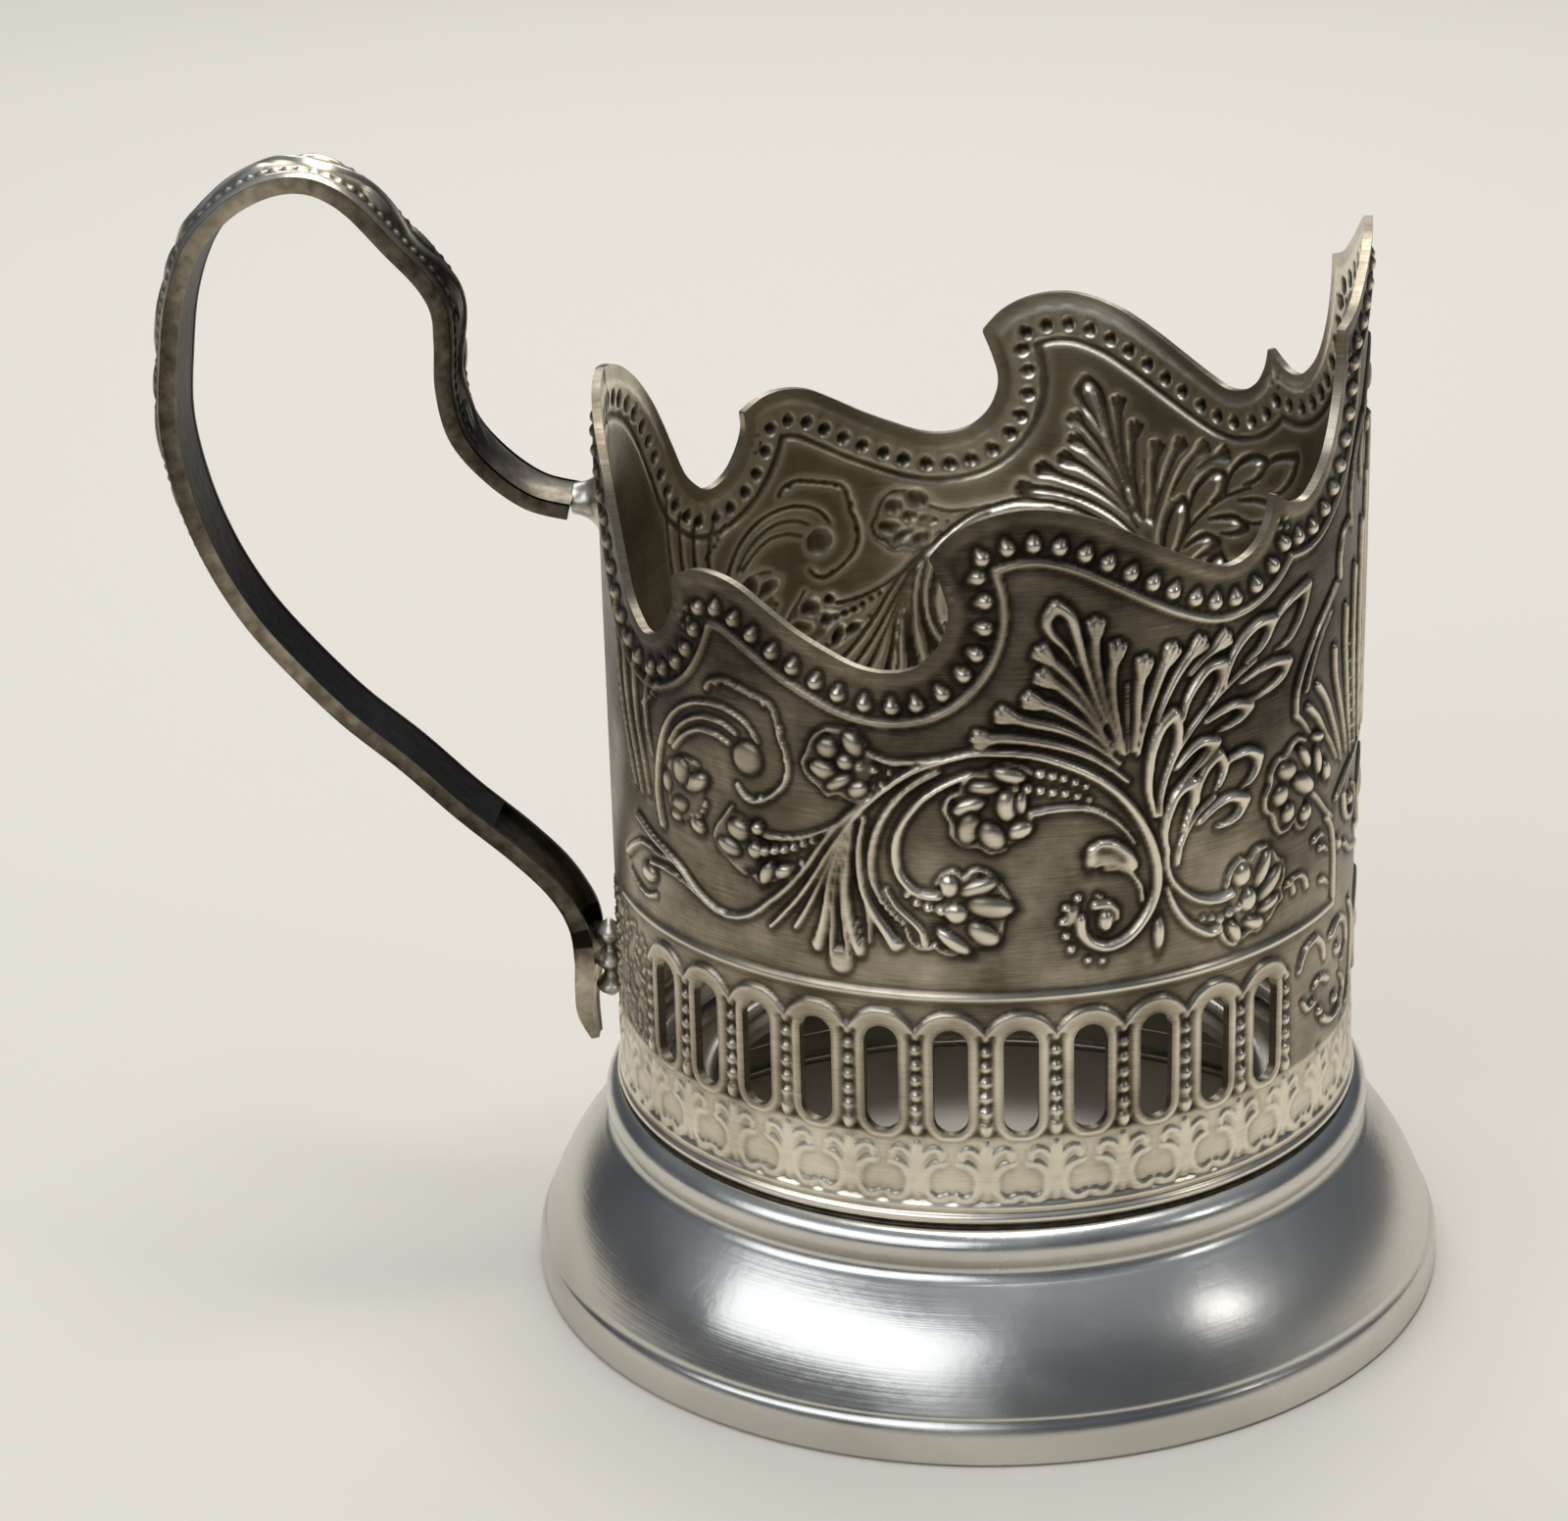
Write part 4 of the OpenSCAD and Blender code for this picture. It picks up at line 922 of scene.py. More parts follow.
cols = np.linspace(0, S.shape[0] - 1, SECTORS + 1).astype(int)
for side, side_name in ((-1, "near"), (1, "far")):
    outer, outer_n = skin(relief, BODY_R, side, 1)
    inner, inner_n = skin(inner_relief, BODY_R - WALL, side, -1)
    for part in range(SECTORS):
        c0, c1 = cols[part], cols[part + 1]
        block = metal[c0:c1]
        ids = -np.ones((c1 - c0 + 1, S.shape[1]), int)
        used = np.zeros(ids.shape, bool)
        for di in (0, 1):
            for dk in (0, 1):
                used[di:c1 - c0 + di, dk:S.shape[1] - 1 + dk] |= block
        n_pts = int(used.sum())
        ids[used] = np.arange(n_pts)
        i, k = np.nonzero(block)
        quad = np.stack([ids[i, k], ids[i + 1, k], ids[i + 1, k + 1], ids[i, k + 1]], 1)
        out_faces = quad if side > 0 else quad[:, ::-1]
        in_faces = out_faces[:, ::-1] + n_pts
        wall = free_edges(ids, c0, i, k)
        m = len(wall)
        out_pts, in_pts = outer[c0:c1 + 1][used], inner[c0:c1 + 1][used]
        out_nor, in_nor = outer_n[c0:c1 + 1][used], inner_n[c0:c1 + 1][used]
        wall_pts = np.concatenate([out_pts[wall[:, 0]], out_pts[wall[:, 1]],
                                   in_pts[wall[:, 1]], in_pts[wall[:, 0]]])
        first = 2 * n_pts + np.arange(m)
        wall_faces = np.stack([first + 3 * m, first + 2 * m, first + m, first], 1)
        if side < 0:
            wall_faces = wall_faces[:, ::-1]
        across = out_pts[wall[:, 1]] - out_pts[wall[:, 0]]
        through = out_pts[wall[:, 0]] - in_pts[wall[:, 0]]
        wall_nor = np.cross(across, through) * side
        wall_nor /= np.linalg.norm(wall_nor, axis=1, keepdims=True) + 1e-15
        verts = np.concatenate([out_pts, in_pts, wall_pts])
        normals = np.concatenate([out_nor, in_nor, *[wall_nor] * 4])
        # Tone of each point: wear, patina and painted highlights outside, painted light inside,
        # and the cut edges' wear and painted highlight.
        wear_and_painted_light = np.concatenate([raised[c0:c1 + 1][used], inside_tone_and_painted_light[c0:c1 + 1][used],
                               np.full(4 * m, EDGE_WEAR_AND_HIGHLIGHT)])
        faces = np.concatenate([out_faces, in_faces, wall_faces])
        sector = mesh_object(f"body_sheet_{side_name}_{part + 1}", verts, faces, body_metal,
                             attrs={"raised": wear_and_painted_light}, normals=normals)
        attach(sector, "root")
        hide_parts("body_sheet")


# Seam solder: the butt seam that closes the rolled sheet, a thin line of solder run in from
# the inside, under the handle, and filed flush outside.


def revolve(profile, steps):
    """A profile of (radius, height) in mm turned about the upright axis; the last point joins
    the first, so the result is a closed ring."""
    p = np.asarray(profile, float)
    t = np.arange(steps) * 2 * math.pi / steps
    pts = np.stack([np.outer(np.cos(t), p[:, 0]), np.outer(np.sin(t), p[:, 0]),
                    np.tile(p[:, 1], (steps, 1))], -1).reshape(-1, 3) * MM
    i, k = np.meshgrid(np.arange(steps), np.arange(len(p)), indexing="ij")
    a, b = i * len(p), (i + 1) % steps * len(p)
    k2 = (k + 1) % len(p)
    faces = np.stack([a + k, b + k, b + k2, a + k2], -1).reshape(-1, 4)
    return pts, faces


def tube_faces(rings, sides):
    """Four-sided faces between each ring of points and the next: a corner and the one after
    it on the one ring, then the same two on the other ring, the other way round."""
    i, k = np.meshgrid(np.arange(rings - 1), np.arange(sides), indexing="ij")
    here, there, k2 = i * sides, (i + 1) * sides, (k + 1) % sides
    return np.stack([here + k, here + k2, there + k2, there + k], -1).reshape(-1, 4)


RIPPLES_PER_M = 700.0  # ripples of 1.4 mm


def satin_metal(name, code, rough):
    """Soft solder, a pale grey tin alloy with the shallow ripples it froze with, or plain old
    nickel silver: satin, and darker in its low places."""
    m = empty_nodes(bpy.data.materials.new(name))
    where = add(m, "ShaderNodeTexCoord")
    ripples = add(m, "ShaderNodeTexNoise", [(where.outputs["Object"], "Vector")],
                  in_Scale=RIPPLES_PER_M, in_Detail=3.0)
    low_tone = [v * 0.45 for v in hex_linear(code)[:3]] + [1]
    tint = add(m, "ShaderNodeValToRGB", [(ripples.outputs["Fac"], "Fac")],
               stops=[(0.3, low_tone), (0.62, hex_linear(code))])
    bump = add(m, "ShaderNodeBump", [(ripples.outputs["Fac"], "Height")],
               in_Strength=0.4, in_Distance=0.2 * MM)
    bsdf = add(m, "ShaderNodeBsdfPrincipled",
               [(tint.outputs["Color"], "Base Color"), (bump.outputs["Normal"], "Normal")],
               in_Metallic=1.0, in_Roughness=rough)
    add(m, "ShaderNodeOutputMaterial", [(bsdf.outputs[0], "Surface")])
    return m


soft_solder = satin_metal("soft solder, as it flowed", "#d8d3c6", 0.36)
SEAM_RINGS, SHORT = 120, 0.02  # SHORT is how far the solder stays inside both skins
z_seam = np.linspace(BODY_LOW, RIM_LOW + RIM[-1][1] * CROWN, SEAM_RINGS)
x_out, x_in = -BODY_R + SHORT, -BODY_R + WALL - SHORT
corners = np.array([(x_out, -SEAM_HALF), (x_out, SEAM_HALF),
                    (x_in, SEAM_HALF), (x_in, -SEAM_HALF)])
pts = np.hstack([np.tile(corners, (SEAM_RINGS, 1)), np.repeat(z_seam, 4)[:, None]]) * MM
top = (SEAM_RINGS - 1) * 4
faces = np.vstack([tube_faces(SEAM_RINGS, 4)[:, [0, 3, 2, 1]],
                   [[0, 1, 2, 3], [top + 3, top + 2, top + 1, top]]])
seam = mesh_object("seam_solder_line", pts, faces, soft_solder, smooth_faces=False)
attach(seam, "root")
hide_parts("seam_solder")


# Foot: one disc of nickel silver spun over a form to a half-round moulding, a swelling slope
# and an upright skirt, then polished on the lathe; its lower edge is turned in.

FOOT_H, FOOT_R, FOOT_WALL = 19.4, 43.8, 0.8
MOULD_R, MOULD_OUT, SHELF_W = 2.0, 1.75, 4.0
SLOPE_SWELL, SKIRT_TOP, SKIRT_LEAN, LIP_R, TURNED_IN = 0.7, 4.2, 0.35, 0.45, 1.35
mould_mid = np.array([BODY_R + MOULD_OUT - MOULD_R, FOOT_H - MOULD_R])
groove_at = np.array([mould_mid[0] + 1.15, FOOT_H - 2 * MOULD_R - 0.2])
slope_top = groove_at + [0.9, -0.7]
slope_low = np.array([FOOT_R - 0.65, 4.5])
slope_way = slope_low - slope_top
slope_out = np.array([-slope_way[1], slope_way[0]]) / np.hypot(*slope_way)


def foot_profile():
    """Shelf, quarter and more of a circle, fine groove, a straight slope with a sine swelling,
    a small hollow, and the skirt down to its rounded, turned-in edge."""
    t = np.radians(np.linspace(90, -42, 28))
    mould = mould_mid + MOULD_R * np.stack([np.cos(t), np.sin(t)], 1)
    u = np.linspace(0, 1, 40)[:, None]
    slope = slope_top + u * slope_way + SLOPE_SWELL * np.sin(np.pi * u) * slope_out
    v = np.linspace(0, 1, 10)[:, None]
    skirt = np.hstack([FOOT_R - SKIRT_LEAN * (1 - v) ** 2, SKIRT_TOP - SKIRT_LEAN * (1 + 4 * v)])
    w = np.radians(np.linspace(10, -90, 10))
    lip = np.stack([FOOT_R - LIP_R + LIP_R * np.cos(w), LIP_R + LIP_R * np.sin(w)], 1)
    shelf = [[BODY_R - SHELF_W, FOOT_H], [BODY_R - 1.5, FOOT_H]]
    return np.vstack([shelf, mould, [groove_at], slope, [[slope_low[0], SKIRT_TOP]], skirt, lip,
                      [[FOOT_R - TURNED_IN, 0]]])


def thicken(line, t):
    """The line and the same line moved inwards by the sheet's thickness, as one loop."""
    way = np.gradient(line, axis=0)
    way /= np.hypot(*way.T)[:, None]
    return np.vstack([line, (line + t * np.stack([way[:, 1], -way[:, 0]], 1))[::-1]])


LATHE_LINES_PER_M = 2600.0  # lines of 0.38 mm: the tool's own are finer, but wouldn't show
MARKS_PER_M, SMEARS_PER_M = 900.0, 45.0  # marks of 1.1 mm and smears of 22 mm


def spun_nickel():
    """Nickel silver polished on the lathe: bright, with very fine lines round it that draw a
    highlight out, and a few soft smears from hands."""
    m = empty_nodes(bpy.data.materials.new("lathe-polished nickel silver"))
    where = add(m, "ShaderNodeTexCoord")
    split = add(m, "ShaderNodeSeparateXYZ", [(where.outputs["Object"], "Vector")])
    x_square = add(m, "ShaderNodeMath", [(split.outputs["X"], 0), (split.outputs["X"], 1)],
                   operation="MULTIPLY")
    y_square = add(m, "ShaderNodeMath", [(split.outputs["Y"], 0), (split.outputs["Y"], 1)],
                   operation="MULTIPLY")
    both_squares = add(m, "ShaderNodeMath", [(x_square.outputs[0], 0), (y_square.outputs[0], 1)],
                       operation="ADD")
    radius = add(m, "ShaderNodeMath", [(both_squares.outputs[0], 0)], operation="SQRT")
    rings = add(m, "ShaderNodeCombineXYZ", [(radius.outputs[0], "X"), (split.outputs["Z"], "Z")])
    lathe_lines = add(m, "ShaderNodeTexNoise", [(rings.outputs[0], "Vector")],
                      in_Scale=LATHE_LINES_PER_M, in_Detail=4.0, in_Roughness=0.7)
    smear = add(m, "ShaderNodeTexNoise", [(where.outputs["Object"], "Vector")],
                in_Scale=SMEARS_PER_M, in_Detail=4.0, in_Distortion=0.6)
    marks = add(m, "ShaderNodeTexNoise", [(where.outputs["Object"], "Vector")],
                in_Scale=MARKS_PER_M, in_Detail=3.0)
    rough = add(m, "ShaderNodeMapRange", [(smear.outputs["Fac"], "Value")],
                in_1=0.35, in_2=0.7, in_3=0.19, in_4=0.32)
    tint = add(m, "ShaderNodeValToRGB", [(smear.outputs["Fac"], "Fac")],
               stops=[(0.3, hex_linear("#c4c1b9")), (0.7, hex_linear("#dbd8d0"))])
    both = add(m, "ShaderNodeMath", [(lathe_lines.outputs["Fac"], 0), (marks.outputs["Fac"], 1)],
               operation="ADD")
    bump = add(m, "ShaderNodeBump", [(both.outputs[0], "Height")], in_Strength=0.7,
               in_Distance=0.02 * MM)
    bsdf = add(m, "ShaderNodeBsdfPrincipled",
               [(tint.outputs["Color"], "Base Color"), (rough.outputs[0], "Roughness"),
                (bump.outputs["Normal"], "Normal")], in_Metallic=1.0)
    add(m, "ShaderNodeOutputMaterial", [(bsdf.outputs[0], "Surface")])
    return m


spun = spun_nickel()
pts, faces = revolve(thicken(foot_profile(), FOOT_WALL), 360)
foot = mesh_object("spun_foot", pts, faces, spun)
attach(foot, "root")
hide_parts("foot")


# Foot solder: the fillet of soft solder that holds the body's lower edge to the foot's shelf.
# It ran into the corner all the way round; it is dull, and its dark colour is painted shade for
# that corner.

FILLET_W, FILLET_H, BITE = 0.4, 0.28, 0.02
fillet = [(BODY_R - BITE, FOOT_H), (BODY_R + FILLET_W, FOOT_H), (BODY_R + 0.2, FOOT_H + 0.1),
          (BODY_R - BITE, FOOT_H + FILLET_H)]
pts, faces = revolve(fillet, 360)
# The dark grey is painted shade for the corner between body and foot.
solder_painted_as_shade = satin_metal("soft solder, painted dark as the corner's shade", "#57524a", 0.5)
foot_solder = mesh_object("foot_solder_fillet", pts, faces, solder_painted_as_shade)
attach(foot_solder, "root")
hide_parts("foot_solder")


# Backing ring: a flat ring soldered under the foot's shelf, which stiffens it where the glass
# stands; its inner edge is turned down.

RING_T, RING_HOLE, RING_EDGE, RING_GAP = 1.0, 26.0, 2.4, 0.1
ring_top = FOOT_H - FOOT_WALL
ring_low = ring_top - RING_T
ring_out = BODY_R - WALL - RING_GAP
t = np.radians(np.linspace(90, 180, 8))
bend = np.stack([RING_HOLE + RING_T + RING_T * np.cos(t), ring_low + RING_T * np.sin(t)], 1)
ring_profile = np.vstack([
    [[ring_out, ring_low], [ring_out, ring_top]], bend,
    [[RING_HOLE, ring_low - RING_EDGE], [RING_HOLE + RING_T, ring_low - RING_EDGE],
     [RING_HOLE + RING_T, ring_low]]])
pts, faces = revolve(ring_profile, 240)
seat = mesh_object("backing_ring_flat", pts, faces[:, ::-1], spun)
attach(seat, "root")
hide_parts("backing_ring")


# Handle face: a strap stamped to a shallow channel, domed and chased on its outer face, with
# folded edges; it bends from the body up, over and down to a small curled tail.

REACH, TOP_H, TAIL_H = 40.0, 106.5, 20.7
STRAP_W, EDGE_H, STRAP_CROWN, STRAP_WALL = 7.0, 1.9, 1.3, 0.5
STRAP_STEPS, STRAP_RINGS = 16, 620
TAIL_FROM, TAIL_SHARE = 0.9, 0.1
# The strap's middle line, as shares of its reach from the body and of its height.
STRAP = [
    (0.067, 0.642), (0.158, 0.653), (0.246, 0.683), (0.315, 0.724), (0.339, 0.775),
    (0.336, 0.826), (0.34, 0.863), (0.375, 0.895), (0.445, 0.931), (0.529, 0.974),
    (0.6, 0.995), (0.67, 1), (0.749, 0.991), (0.832, 0.968), (0.91, 0.929),
    (0.963, 0.868), (0.989, 0.796), (1, 0.724), (0.973, 0.648), (0.92, 0.577),
    (0.846, 0.514), (0.755, 0.46), (0.628, 0.397), (0.492, 0.343), (0.363, 0.286),
    (0.238, 0.236), (0.149, 0.193), (0.099, 0.151), (0.087, 0.108), (0.092, 0.072),
    (0.095, 0.038), (0.076, 0)]
spots = [(-BODY_R - a * REACH, TAIL_H + b * (TOP_H - TAIL_H)) for a, b in STRAP]
strap = smooth(spots, STRAP_STEPS)
run = np.concatenate([[0], np.cumsum(np.hypot(*np.diff(strap, axis=0).T))])
STRAP_L = float(run[-1])
steps = np.linspace(0, STRAP_L, STRAP_RINGS)
strap = np.stack([np.interp(steps, run, strap[:, 0]), np.interp(steps, run, strap[:, 1])], 1)
strap_way = np.gradient(strap, axis=0)
strap_way /= np.hypot(*strap_way.T)[:, None]
strap_out = np.stack([strap_way[:, 1], -strap_way[:, 0]], 1)
share = steps / STRAP_L
# The tail narrows to a quarter, and first thickens and then thins. The dome is highest three
# eighths of the way along and flattens to 0.4 of that towards both ends.
tail = np.clip((share - TAIL_FROM) / TAIL_SHARE, 0, 1)
width = 1 - 0.75 * tail**3
depth = 1 + 0.35 * np.sin(np.pi * tail) - 0.45 * tail**2
crown = STRAP_CROWN * (0.4 + 0.6 * np.sin(np.pi * np.minimum(1, share / 0.75)) ** 2)
WAVE_L, WAVE_SHARE = 11, 0.34  # mm of one wave of the stem, and its swing across
DOTS_APART = 1.1


def strap_pattern(u, v):
    """The chasing on the strap, in mm: a plain raised edge, along the middle a waving stem with
    a veined leaf in each bend, and a row of dots at either side. u is from -1 to 1 across and v
    is mm along. Stem and vein are bell curves across; leaf and dots are half ellipsoids."""
    edge = 0.16 / (1 + np.exp((0.78 - np.abs(u)) / 0.03))
    wave = WAVE_SHARE * np.sin(2 * np.pi * v / WAVE_L)
    stem_h = 0.3 * np.exp(-(((u - wave) / 0.12) ** 2))
    side = np.sign(np.sin(2 * np.pi * v / WAVE_L + 1e-9))
    phase = (v % (WAVE_L / 2)) / (WAVE_L / 2) - 0.5
    off_leaf = u + side * 0.3
    leaf = 0.28 * np.sqrt(np.clip(1 - (off_leaf / 0.3) ** 2 - (phase / 0.3) ** 2, 0, 1))
    vein = 0.09 * np.exp(-((off_leaf / 0.05) ** 2)) * (np.abs(phase) < 0.28)
    off_dot, along_dot = np.abs(u) - 0.66, v % DOTS_APART - DOTS_APART / 2
    dots = 0.2 * np.sqrt(np.clip(1 - (off_dot / 0.09) ** 2 - (along_dot / 0.36) ** 2, 0, 1))
    return np.maximum(np.maximum(edge, stem_h), np.maximum(leaf - vein, dots))


# The strap's section, as one loop: up the one folded edge, over the face, down the other edge
# and back inside. u goes across, and each point has its height and its share of the dome.
half_w, half_edge = STRAP_W / 2, EDGE_H / 2
RELIEF_SUNK, FOLD, DOME_POWER = 0.55, 0.35, 2.2
u = np.linspace(-1, 1, 57)
flat_u = np.concatenate([[-1, -1], u, [1, 1]])
base_v = np.concatenate([[-half_edge, half_edge - FOLD],
                         np.full(len(u), half_edge - RELIEF_SUNK),
                         [half_edge - FOLD, -half_edge]])
arch_v = np.concatenate([[0, 0], 1 - np.abs(u) ** DOME_POWER, [0, 0]])
back_u = np.linspace(1, -1, 29)
inner_base = np.concatenate([[-half_edge],
                             np.full(len(back_u), half_edge - STRAP_WALL - RELIEF_SUNK),
                             [-half_edge]])
inner_arch = np.concatenate([[0], 0.85 * (1 - np.abs(back_u) ** DOME_POWER), [0]])
inner_u = np.concatenate([[1], back_u, [-1]]) * (1 - STRAP_WALL / half_w)
loop_u = np.concatenate([flat_u, inner_u]) * half_w
loop_v, loop_arch = np.concatenate([base_v, inner_base]), np.concatenate([arch_v, inner_arch])
n, n_outer = len(loop_u), len(flat_u)
chased = slice(2, 2 + len(u))

# The chasing fades out near the body and at the tail, and past SOLID_FROM the channel is full.
SOLID_FROM, SOLID_OVER = 0.925, 0.02
pattern = np.zeros((STRAP_RINGS, n))
fade = np.clip((steps - 9) / 5, 0, 1) * np.clip((STRAP_L * TAIL_FROM - steps) / 3, 0, 1)
pattern[:, chased] = strap_pattern(u[None, :], steps[:, None]) * fade[:, None]
solid = np.clip((share - SOLID_FROM) / SOLID_OVER, 0, 1)[:, None]
in_loop = np.arange(n)[None, :] >= n_outer
lift = loop_v[None, :] + loop_arch[None, :] * crown[:, None] + pattern
lift = np.where(in_loop, lift + (0.2 - half_edge - lift) * solid, lift) * depth[:, None]
x = strap[:, 0:1] + strap_out[:, 0:1] * lift
z = strap[:, 1:2] + strap_out[:, 1:2] * lift
y = np.tile(loop_u, (STRAP_RINGS, 1)) * width[:, None]
pts = np.stack([x, y, z], -1).reshape(-1, 3) * MM


def inner_mate(j):
    """The point of the loop's inner line that faces point j of its outer line."""
    return n - 1 - round(j * (n - n_outer - 1) / (n_outer - 1))


cap = []
for j in range(n_outer - 1):
    a, b = inner_mate(j), inner_mate(j + 1)
    cap.append([j, a, b, j + 1] if a != b else [j, a, j + 1, -1])
cap = np.array(cap)
end = np.where(cap >= 0, cap + (STRAP_RINGS - 1) * n, -1)
end = np.array([[r[0], r[3], r[2], r[1]] if r[3] >= 0 else [r[2], r[1], r[0], -1] for r in end])
faces = np.vstack([tube_faces(STRAP_RINGS, n), cap, end])

# How bright the strap is: dark within, pale on the chasing and by the upper solder, bright from
# rubbing and with a painted highlight at the top and at the outer bend, with a further painted
# highlight across the face at the top, and pale at the tail past a dark line.
TOP_AT, TOP_W, BEND_AT, BEND_W, BEND_WEAR_AND_HIGHLIGHT = 0.33, 0.08, 0.64, 0.09, 0.7
FACE_TONE, CHASED_TONE, TAIL_TONE, LINE_TONE = 0.24, 1.4, 0.72, 0.05
wear_and_painted_light = np.exp(-(((share - TOP_AT) / TOP_W) ** 2))
wear_and_painted_light = wear_and_painted_light + BEND_WEAR_AND_HIGHLIGHT * np.exp(-(((share - BEND_AT) / BEND_W) ** 2))
inner_tone = 0.1 + 0.35 * np.clip((share[:, None] - 0.8) / 0.05, 0, 1)
by_solder = 0.3 * np.clip((12 - steps[:, None]) / 4, 0, 1)
strap_raised = np.tile(inner_tone, (1, n))
strap_raised[:, chased] = FACE_TONE + pattern[:, chased] * CHASED_TONE + by_solder
for at, edge_tone in enumerate((0.44, 0.36, 0.3)):
    strap_raised[:, [at, n_outer - 1 - at]] = edge_tone
strap_raised[:, :n_outer] += 0.25 * wear_and_painted_light[:, None]
# A painted highlight across the face at the top of the strap.
strap_raised[:, 2:n_outer - 2] += 0.3 * np.exp(-(((share - TOP_AT) / 0.1) ** 2))[:, None]
strap_raised += (TAIL_TONE - strap_raised) * solid
strap_raised[(share > 0.915) & (share < 0.926)] = LINE_TONE
HANDLE_BLOTCHES_PER_M = 600.0  # blotches of 1.7 mm
handle_metal = dark_nickel_silver("darkened nickel silver, worn by the hand", 0.0, 0.09,
                                  HANDLE_BLOTCHES_PER_M)
handle_face = mesh_object("handle_strap_face", pts, faces, handle_metal,
                          attrs={"raised": strap_raised.ravel()})
handle_face.data.set_sharp_from_angle(angle=math.radians(50))
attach(handle_face, "root")
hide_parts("handle_face")


# Handle back: a plain strip laid in between the folded edges and soldered, so that the strap
# is smooth to the fingers.

BACK_T, BACK_ROOM, BACK_END_SHARE, BACK_FIRST = 0.4, 0.05, 0.8, 6
CAD_STEPS = 2  # the solid's curve has two points to a span, and its strip ends at one of them
back_half = half_w - STRAP_WALL - BACK_ROOM
cad_point = math.floor(BACK_END_SHARE * (len(STRAP) - 1) * CAD_STEPS)
last = int(np.searchsorted(steps, run[cad_point * (STRAP_STEPS // CAD_STEPS)]))
low, high = -half_edge + BACK_ROOM, -half_edge + BACK_T
loop = np.array([(-back_half, low), (-back_half, high), (back_half, high), (back_half, low)])
rings = np.arange(BACK_FIRST, last)
x = strap[rings, 0:1] + strap_out[rings, 0:1] * loop[None, :, 1]
z = strap[rings, 1:2] + strap_out[rings, 1:2] * loop[None, :, 1]
y = np.tile(loop[:, 0], (len(rings), 1))
pts = np.stack([x, y, z], -1).reshape(-1, 3) * MM
top = (len(rings) - 1) * 4
faces = np.vstack([tube_faces(len(rings), 4), [[3, 2, 1, 0], [top, top + 1, top + 2, top + 3]]])
plain_metal = satin_metal("plain nickel silver strip, very dark", "#2c2823", 0.45)
back = mesh_object("handle_back_strip", pts, faces, plain_metal, smooth_faces=False)
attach(back, "root")
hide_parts("handle_back")


# Upper solder: a trumpet of soft solder that fills the angle between the strap's upper end and
# the body's wall, wiped smooth.

TRUMPET_RINGS, TRUMPET_SIDES, TRUMPET_R = 24, 48, 3.9


def end_fan(middle, first, sides, turn):
    """Three-sided faces from a middle point to every side of the ring whose points begin at
    first. Turn 1 goes round as the ring does, and -1 the other way."""
    k = np.arange(sides)
    pair = [first + k, first + (k + 1) % sides][::turn]
    return np.stack([np.full(sides, middle), *pair, np.full(sides, -1)], 1)


# The radius falls with the third power of the way out, from the wall to 0.46 of itself at the
# strap, with a slight ripple round it.
joint_z = strap[0, 1]
joint_l = -strap[0, 0] - BODY_R + 0.4
turns = np.arange(TRUMPET_SIDES) * 2 * math.pi / TRUMPET_SIDES
u, v = np.meshgrid(np.linspace(0, 1, TRUMPET_RINGS), turns, indexing="ij")
flare = 0.46 + 0.54 * (1 - u) ** 3
ry, rz = TRUMPET_R * flare, TRUMPET_R * flare * (0.8 + 0.2 * (1 - u))
ripple = 1 + 0.04 * np.sin(3 * v + 5 * u)
xj = -BODY_R + 0.35 - u * joint_l
yj, zj = ry * np.cos(v) * ripple, joint_z + rz * np.sin(v) * ripple
on_wall = -np.sqrt(np.maximum((BODY_R - 0.3) ** 2 - yj**2, 1))
xj = np.where(u == 0, on_wall, np.minimum(xj, on_wall))
pts = np.stack([xj, yj, zj], -1).reshape(-1, 3)
ends = [[-BODY_R + 0.3, 0, joint_z], [xj[-1, 0] - 0.15, 0, joint_z]]
middle, last_ring = TRUMPET_RINGS * TRUMPET_SIDES, (TRUMPET_RINGS - 1) * TRUMPET_SIDES
faces = np.vstack([tube_faces(TRUMPET_RINGS, TRUMPET_SIDES)[:, ::-1],
                   end_fan(middle, 0, TRUMPET_SIDES, 1),
                   end_fan(middle + 1, last_ring, TRUMPET_SIDES, -1)])
upper = mesh_object("upper_solder_trumpet", np.vstack([pts, ends]) * MM, faces, soft_solder)
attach(upper, "root")
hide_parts("upper_solder")


# Lower solder: three lumps of soft solder, left as they flowed, that bridge the narrow gap
# between the handle's lower end and the body.

# A round column whose width swells and shrinks three times on the way up, with rounded ends.
LUMP_RINGS, LUMP_SIDES, LUMPS, LUMP_W = 40, 40, 3, 1.9
LUMPS_LOW, LUMPS_H = FOOT_H + 5.6, 8.2
STRAP_AT, LOWER_RINGS = 30, 150  # height at which the strap's lower end is taken, and its rings
lower_strap = strap[::-1][:LOWER_RINGS]
strap_low_x = float(np.interp(STRAP_AT, lower_strap[:, 1], lower_strap[:, 0]))
half_gap = (-strap_low_x - half_edge - BODY_R) * 0.5
turns = np.arange(LUMP_SIDES) * 2 * math.pi / LUMP_SIDES
u, v = np.meshgrid(np.linspace(0, 1, LUMP_RINGS), turns, indexing="ij")
swell = 0.72 + 0.28 * np.cos(2 * math.pi * (u * LUMPS - 0.48))
end_round = np.sqrt(np.clip(1 - (2 * u - 1) ** 8, 0.02, 1))
xl = -BODY_R - half_gap + (half_gap + 0.25) * swell * end_round * np.sin(v)
yl = LUMP_W * swell * end_round * np.cos(v)
pts = np.stack([xl, yl, LUMPS_LOW + LUMPS_H * u], -1).reshape(-1, 3)
ends = [[-BODY_R - half_gap, 0, LUMPS_LOW], [-BODY_R - half_gap, 0, LUMPS_LOW + LUMPS_H]]
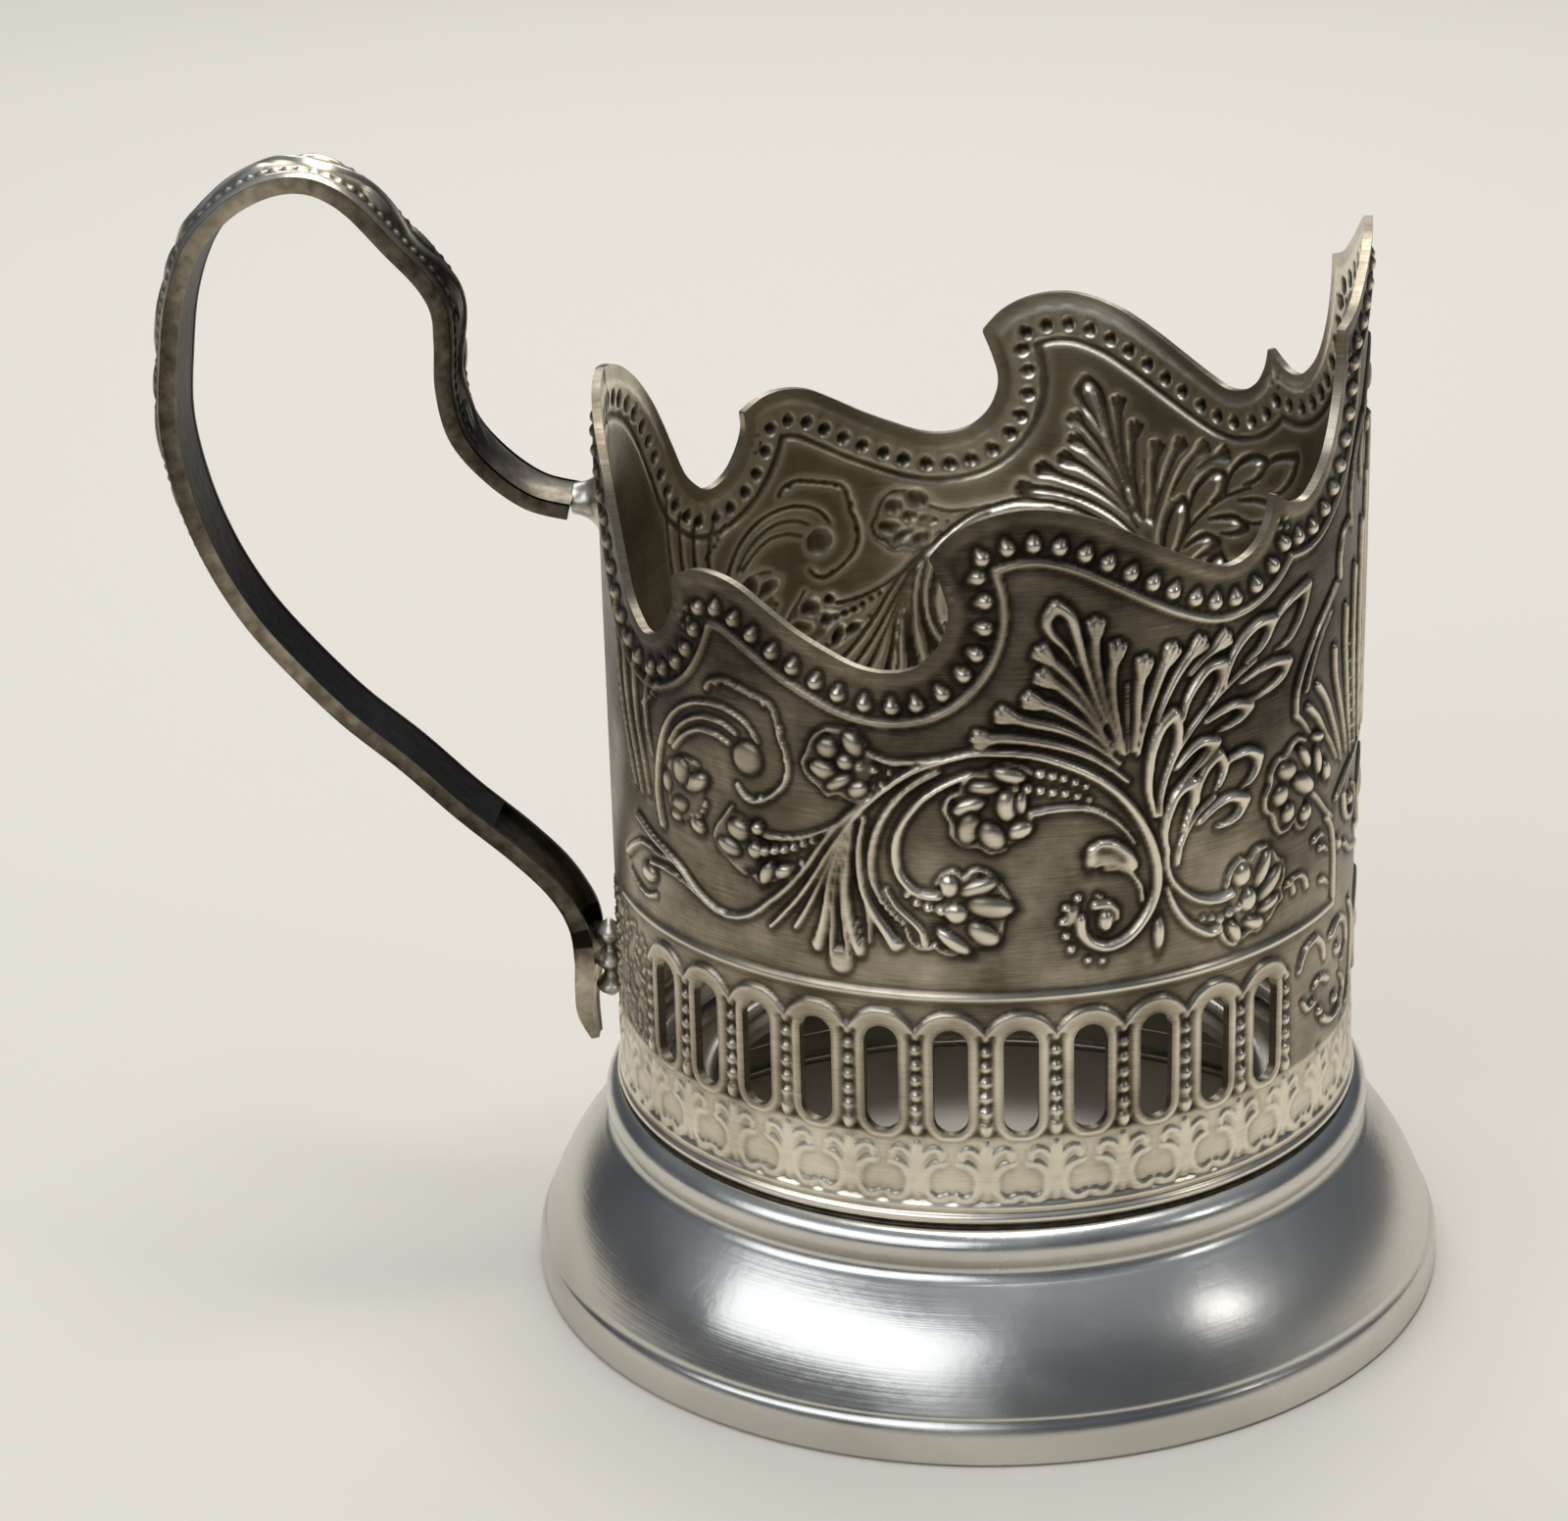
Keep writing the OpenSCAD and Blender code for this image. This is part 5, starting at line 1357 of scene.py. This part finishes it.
middle, last_ring = LUMP_RINGS * LUMP_SIDES, (LUMP_RINGS - 1) * LUMP_SIDES
faces = np.vstack([tube_faces(LUMP_RINGS, LUMP_SIDES), end_fan(middle, 0, LUMP_SIDES, -1),
                   end_fan(middle + 1, last_ring, LUMP_SIDES, 1)])
lower = mesh_object("lower_solder_lumps", np.vstack([pts, ends]) * MM, faces, soft_solder)
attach(lower, "root")
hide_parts("lower_solder")


# Floor: a plain pale surface on which the holder stands, like matt card. It's wide enough to
# fill the view, and takes the shadow.

FLOOR_HALF = 3  # metres
floor_mat = empty_nodes(bpy.data.materials.new("pale matt card"))
bsdf = add(floor_mat, "ShaderNodeBsdfPrincipled", in_Base_Color=hex_linear("#dbd4c8"),
           in_Roughness=0.8)
add(floor_mat, "ShaderNodeOutputMaterial", [(bsdf.outputs[0], "Surface")])
corners = np.array([[-1, -1, 0], [1, -1, 0], [1, 1, 0], [-1, 1, 0]], float) * FLOOR_HALF
floor = mesh_object("floor", corners, [[0, 1, 2, 3]], floor_mat, smooth_faces=False)


# Light and camera: soft boxes at the left, at the right, above and behind. The camera sees a
# pale surround, and the metal mirrors a darker one that is paler overhead. The camera is the
# one fitted to the photograph.

world = empty_nodes(bpy.data.worlds.new("studio"))
bpy.context.scene.world = world
seen = add(world, "ShaderNodeBackground", in_Color=hex_linear("#cfcfcd"), in_Strength=1.0)
way_out = add(world, "ShaderNodeTexCoord")
split = add(world, "ShaderNodeSeparateXYZ", [(way_out.outputs["Generated"], 0)])
sky = add(world, "ShaderNodeValToRGB", [(split.outputs["Z"], "Fac")],
          stops=[(0.0, hex_linear("#4a4d53")), (0.45, hex_linear("#5d636b")),
                 (1.0, hex_linear("#9ba4af"))])
fill = add(world, "ShaderNodeBackground", [(sky.outputs["Color"], "Color")], in_Strength=1.0)
path = add(world, "ShaderNodeLightPath")
mix = add(world, "ShaderNodeMixShader", [(path.outputs["Is Camera Ray"], 0),
                                         (fill.outputs[0], 1), (seen.outputs[0], 2)])
add(world, "ShaderNodeOutputWorld", [(mix.outputs[0], "Surface")])


def soft_box(name, place, size, power, colour="#ffffff", aim=(0, 0, 0.05)):
    """A rectangular lamp that looks from its place at a point in the holder. Places and the
    two sizes are in metres, and power is in watts."""
    data = bpy.data.lights.new(name, "AREA")
    data.shape = "RECTANGLE"
    data.size, data.size_y = size
    data.energy = power
    data.color = hex_linear(colour)[:3]
    ob = bpy.data.objects.new(name, data)
    bpy.context.scene.collection.objects.link(ob)
    way = Vector(aim) - Vector(place)
    ob.matrix_world = Matrix.Translation(place) @ way.to_track_quat("-Z", "Y").to_matrix().to_4x4()
    return ob


soft_box("left soft box", (-0.66, -0.88, 0.72), (1.6, 0.7), 7.0, "#f1f6ff")
soft_box("right soft box", (0.85, -0.3, 0.5), (0.08, 0.22), 0.5)
soft_box("top soft box", (0.05, 0.05, 1.1), (0.6, 0.6), 7.0)
soft_box("back soft box", (-0.1, 0.7, 0.6), (0.7, 0.35), 2.6)

TIP_TURN = math.radians(3.86)
# Distances are in metres, and PIXELS is the focal length in the photograph's pixels.
PIXELS, PICTURE_W, SENSOR_W = 4168.0, 1600, 36
DIST, AIM_H = 0.3875, 0.045
ELEV, PAN, TILT, ROLL = [math.radians(a) for a in (22.46, 2.98, -0.77, -1.63)]
cam = bpy.data.cameras.new("camera")
cam.sensor_width = SENSOR_W
cam.lens = PIXELS / PICTURE_W * SENSOR_W
cam.clip_start, cam.clip_end = 0.01, 20
cam_ob = bpy.data.objects.new("camera", cam)
bpy.context.scene.collection.objects.link(cam_ob)
place = Vector((0, -math.cos(ELEV) * DIST, AIM_H + math.sin(ELEV) * DIST))
dip = ELEV + TILT
look = Vector((-math.sin(PAN) * math.cos(dip), math.cos(PAN) * math.cos(dip), -math.sin(dip)))
right = look.cross(Vector((0, 0, 1))).normalized()
up = right.cross(look)
right2 = math.cos(ROLL) * right + math.sin(ROLL) * up
up2 = -math.sin(ROLL) * right + math.cos(ROLL) * up
turn = Matrix.Rotation(TIP_TURN, 4, "Z")
basis = Matrix((right2, up2, -look)).transposed().to_4x4()
cam_ob.matrix_world = turn @ Matrix.Translation(place) @ basis
bpy.context.scene.camera = cam_ob
bpy.context.scene.view_settings.view_transform = "Standard"

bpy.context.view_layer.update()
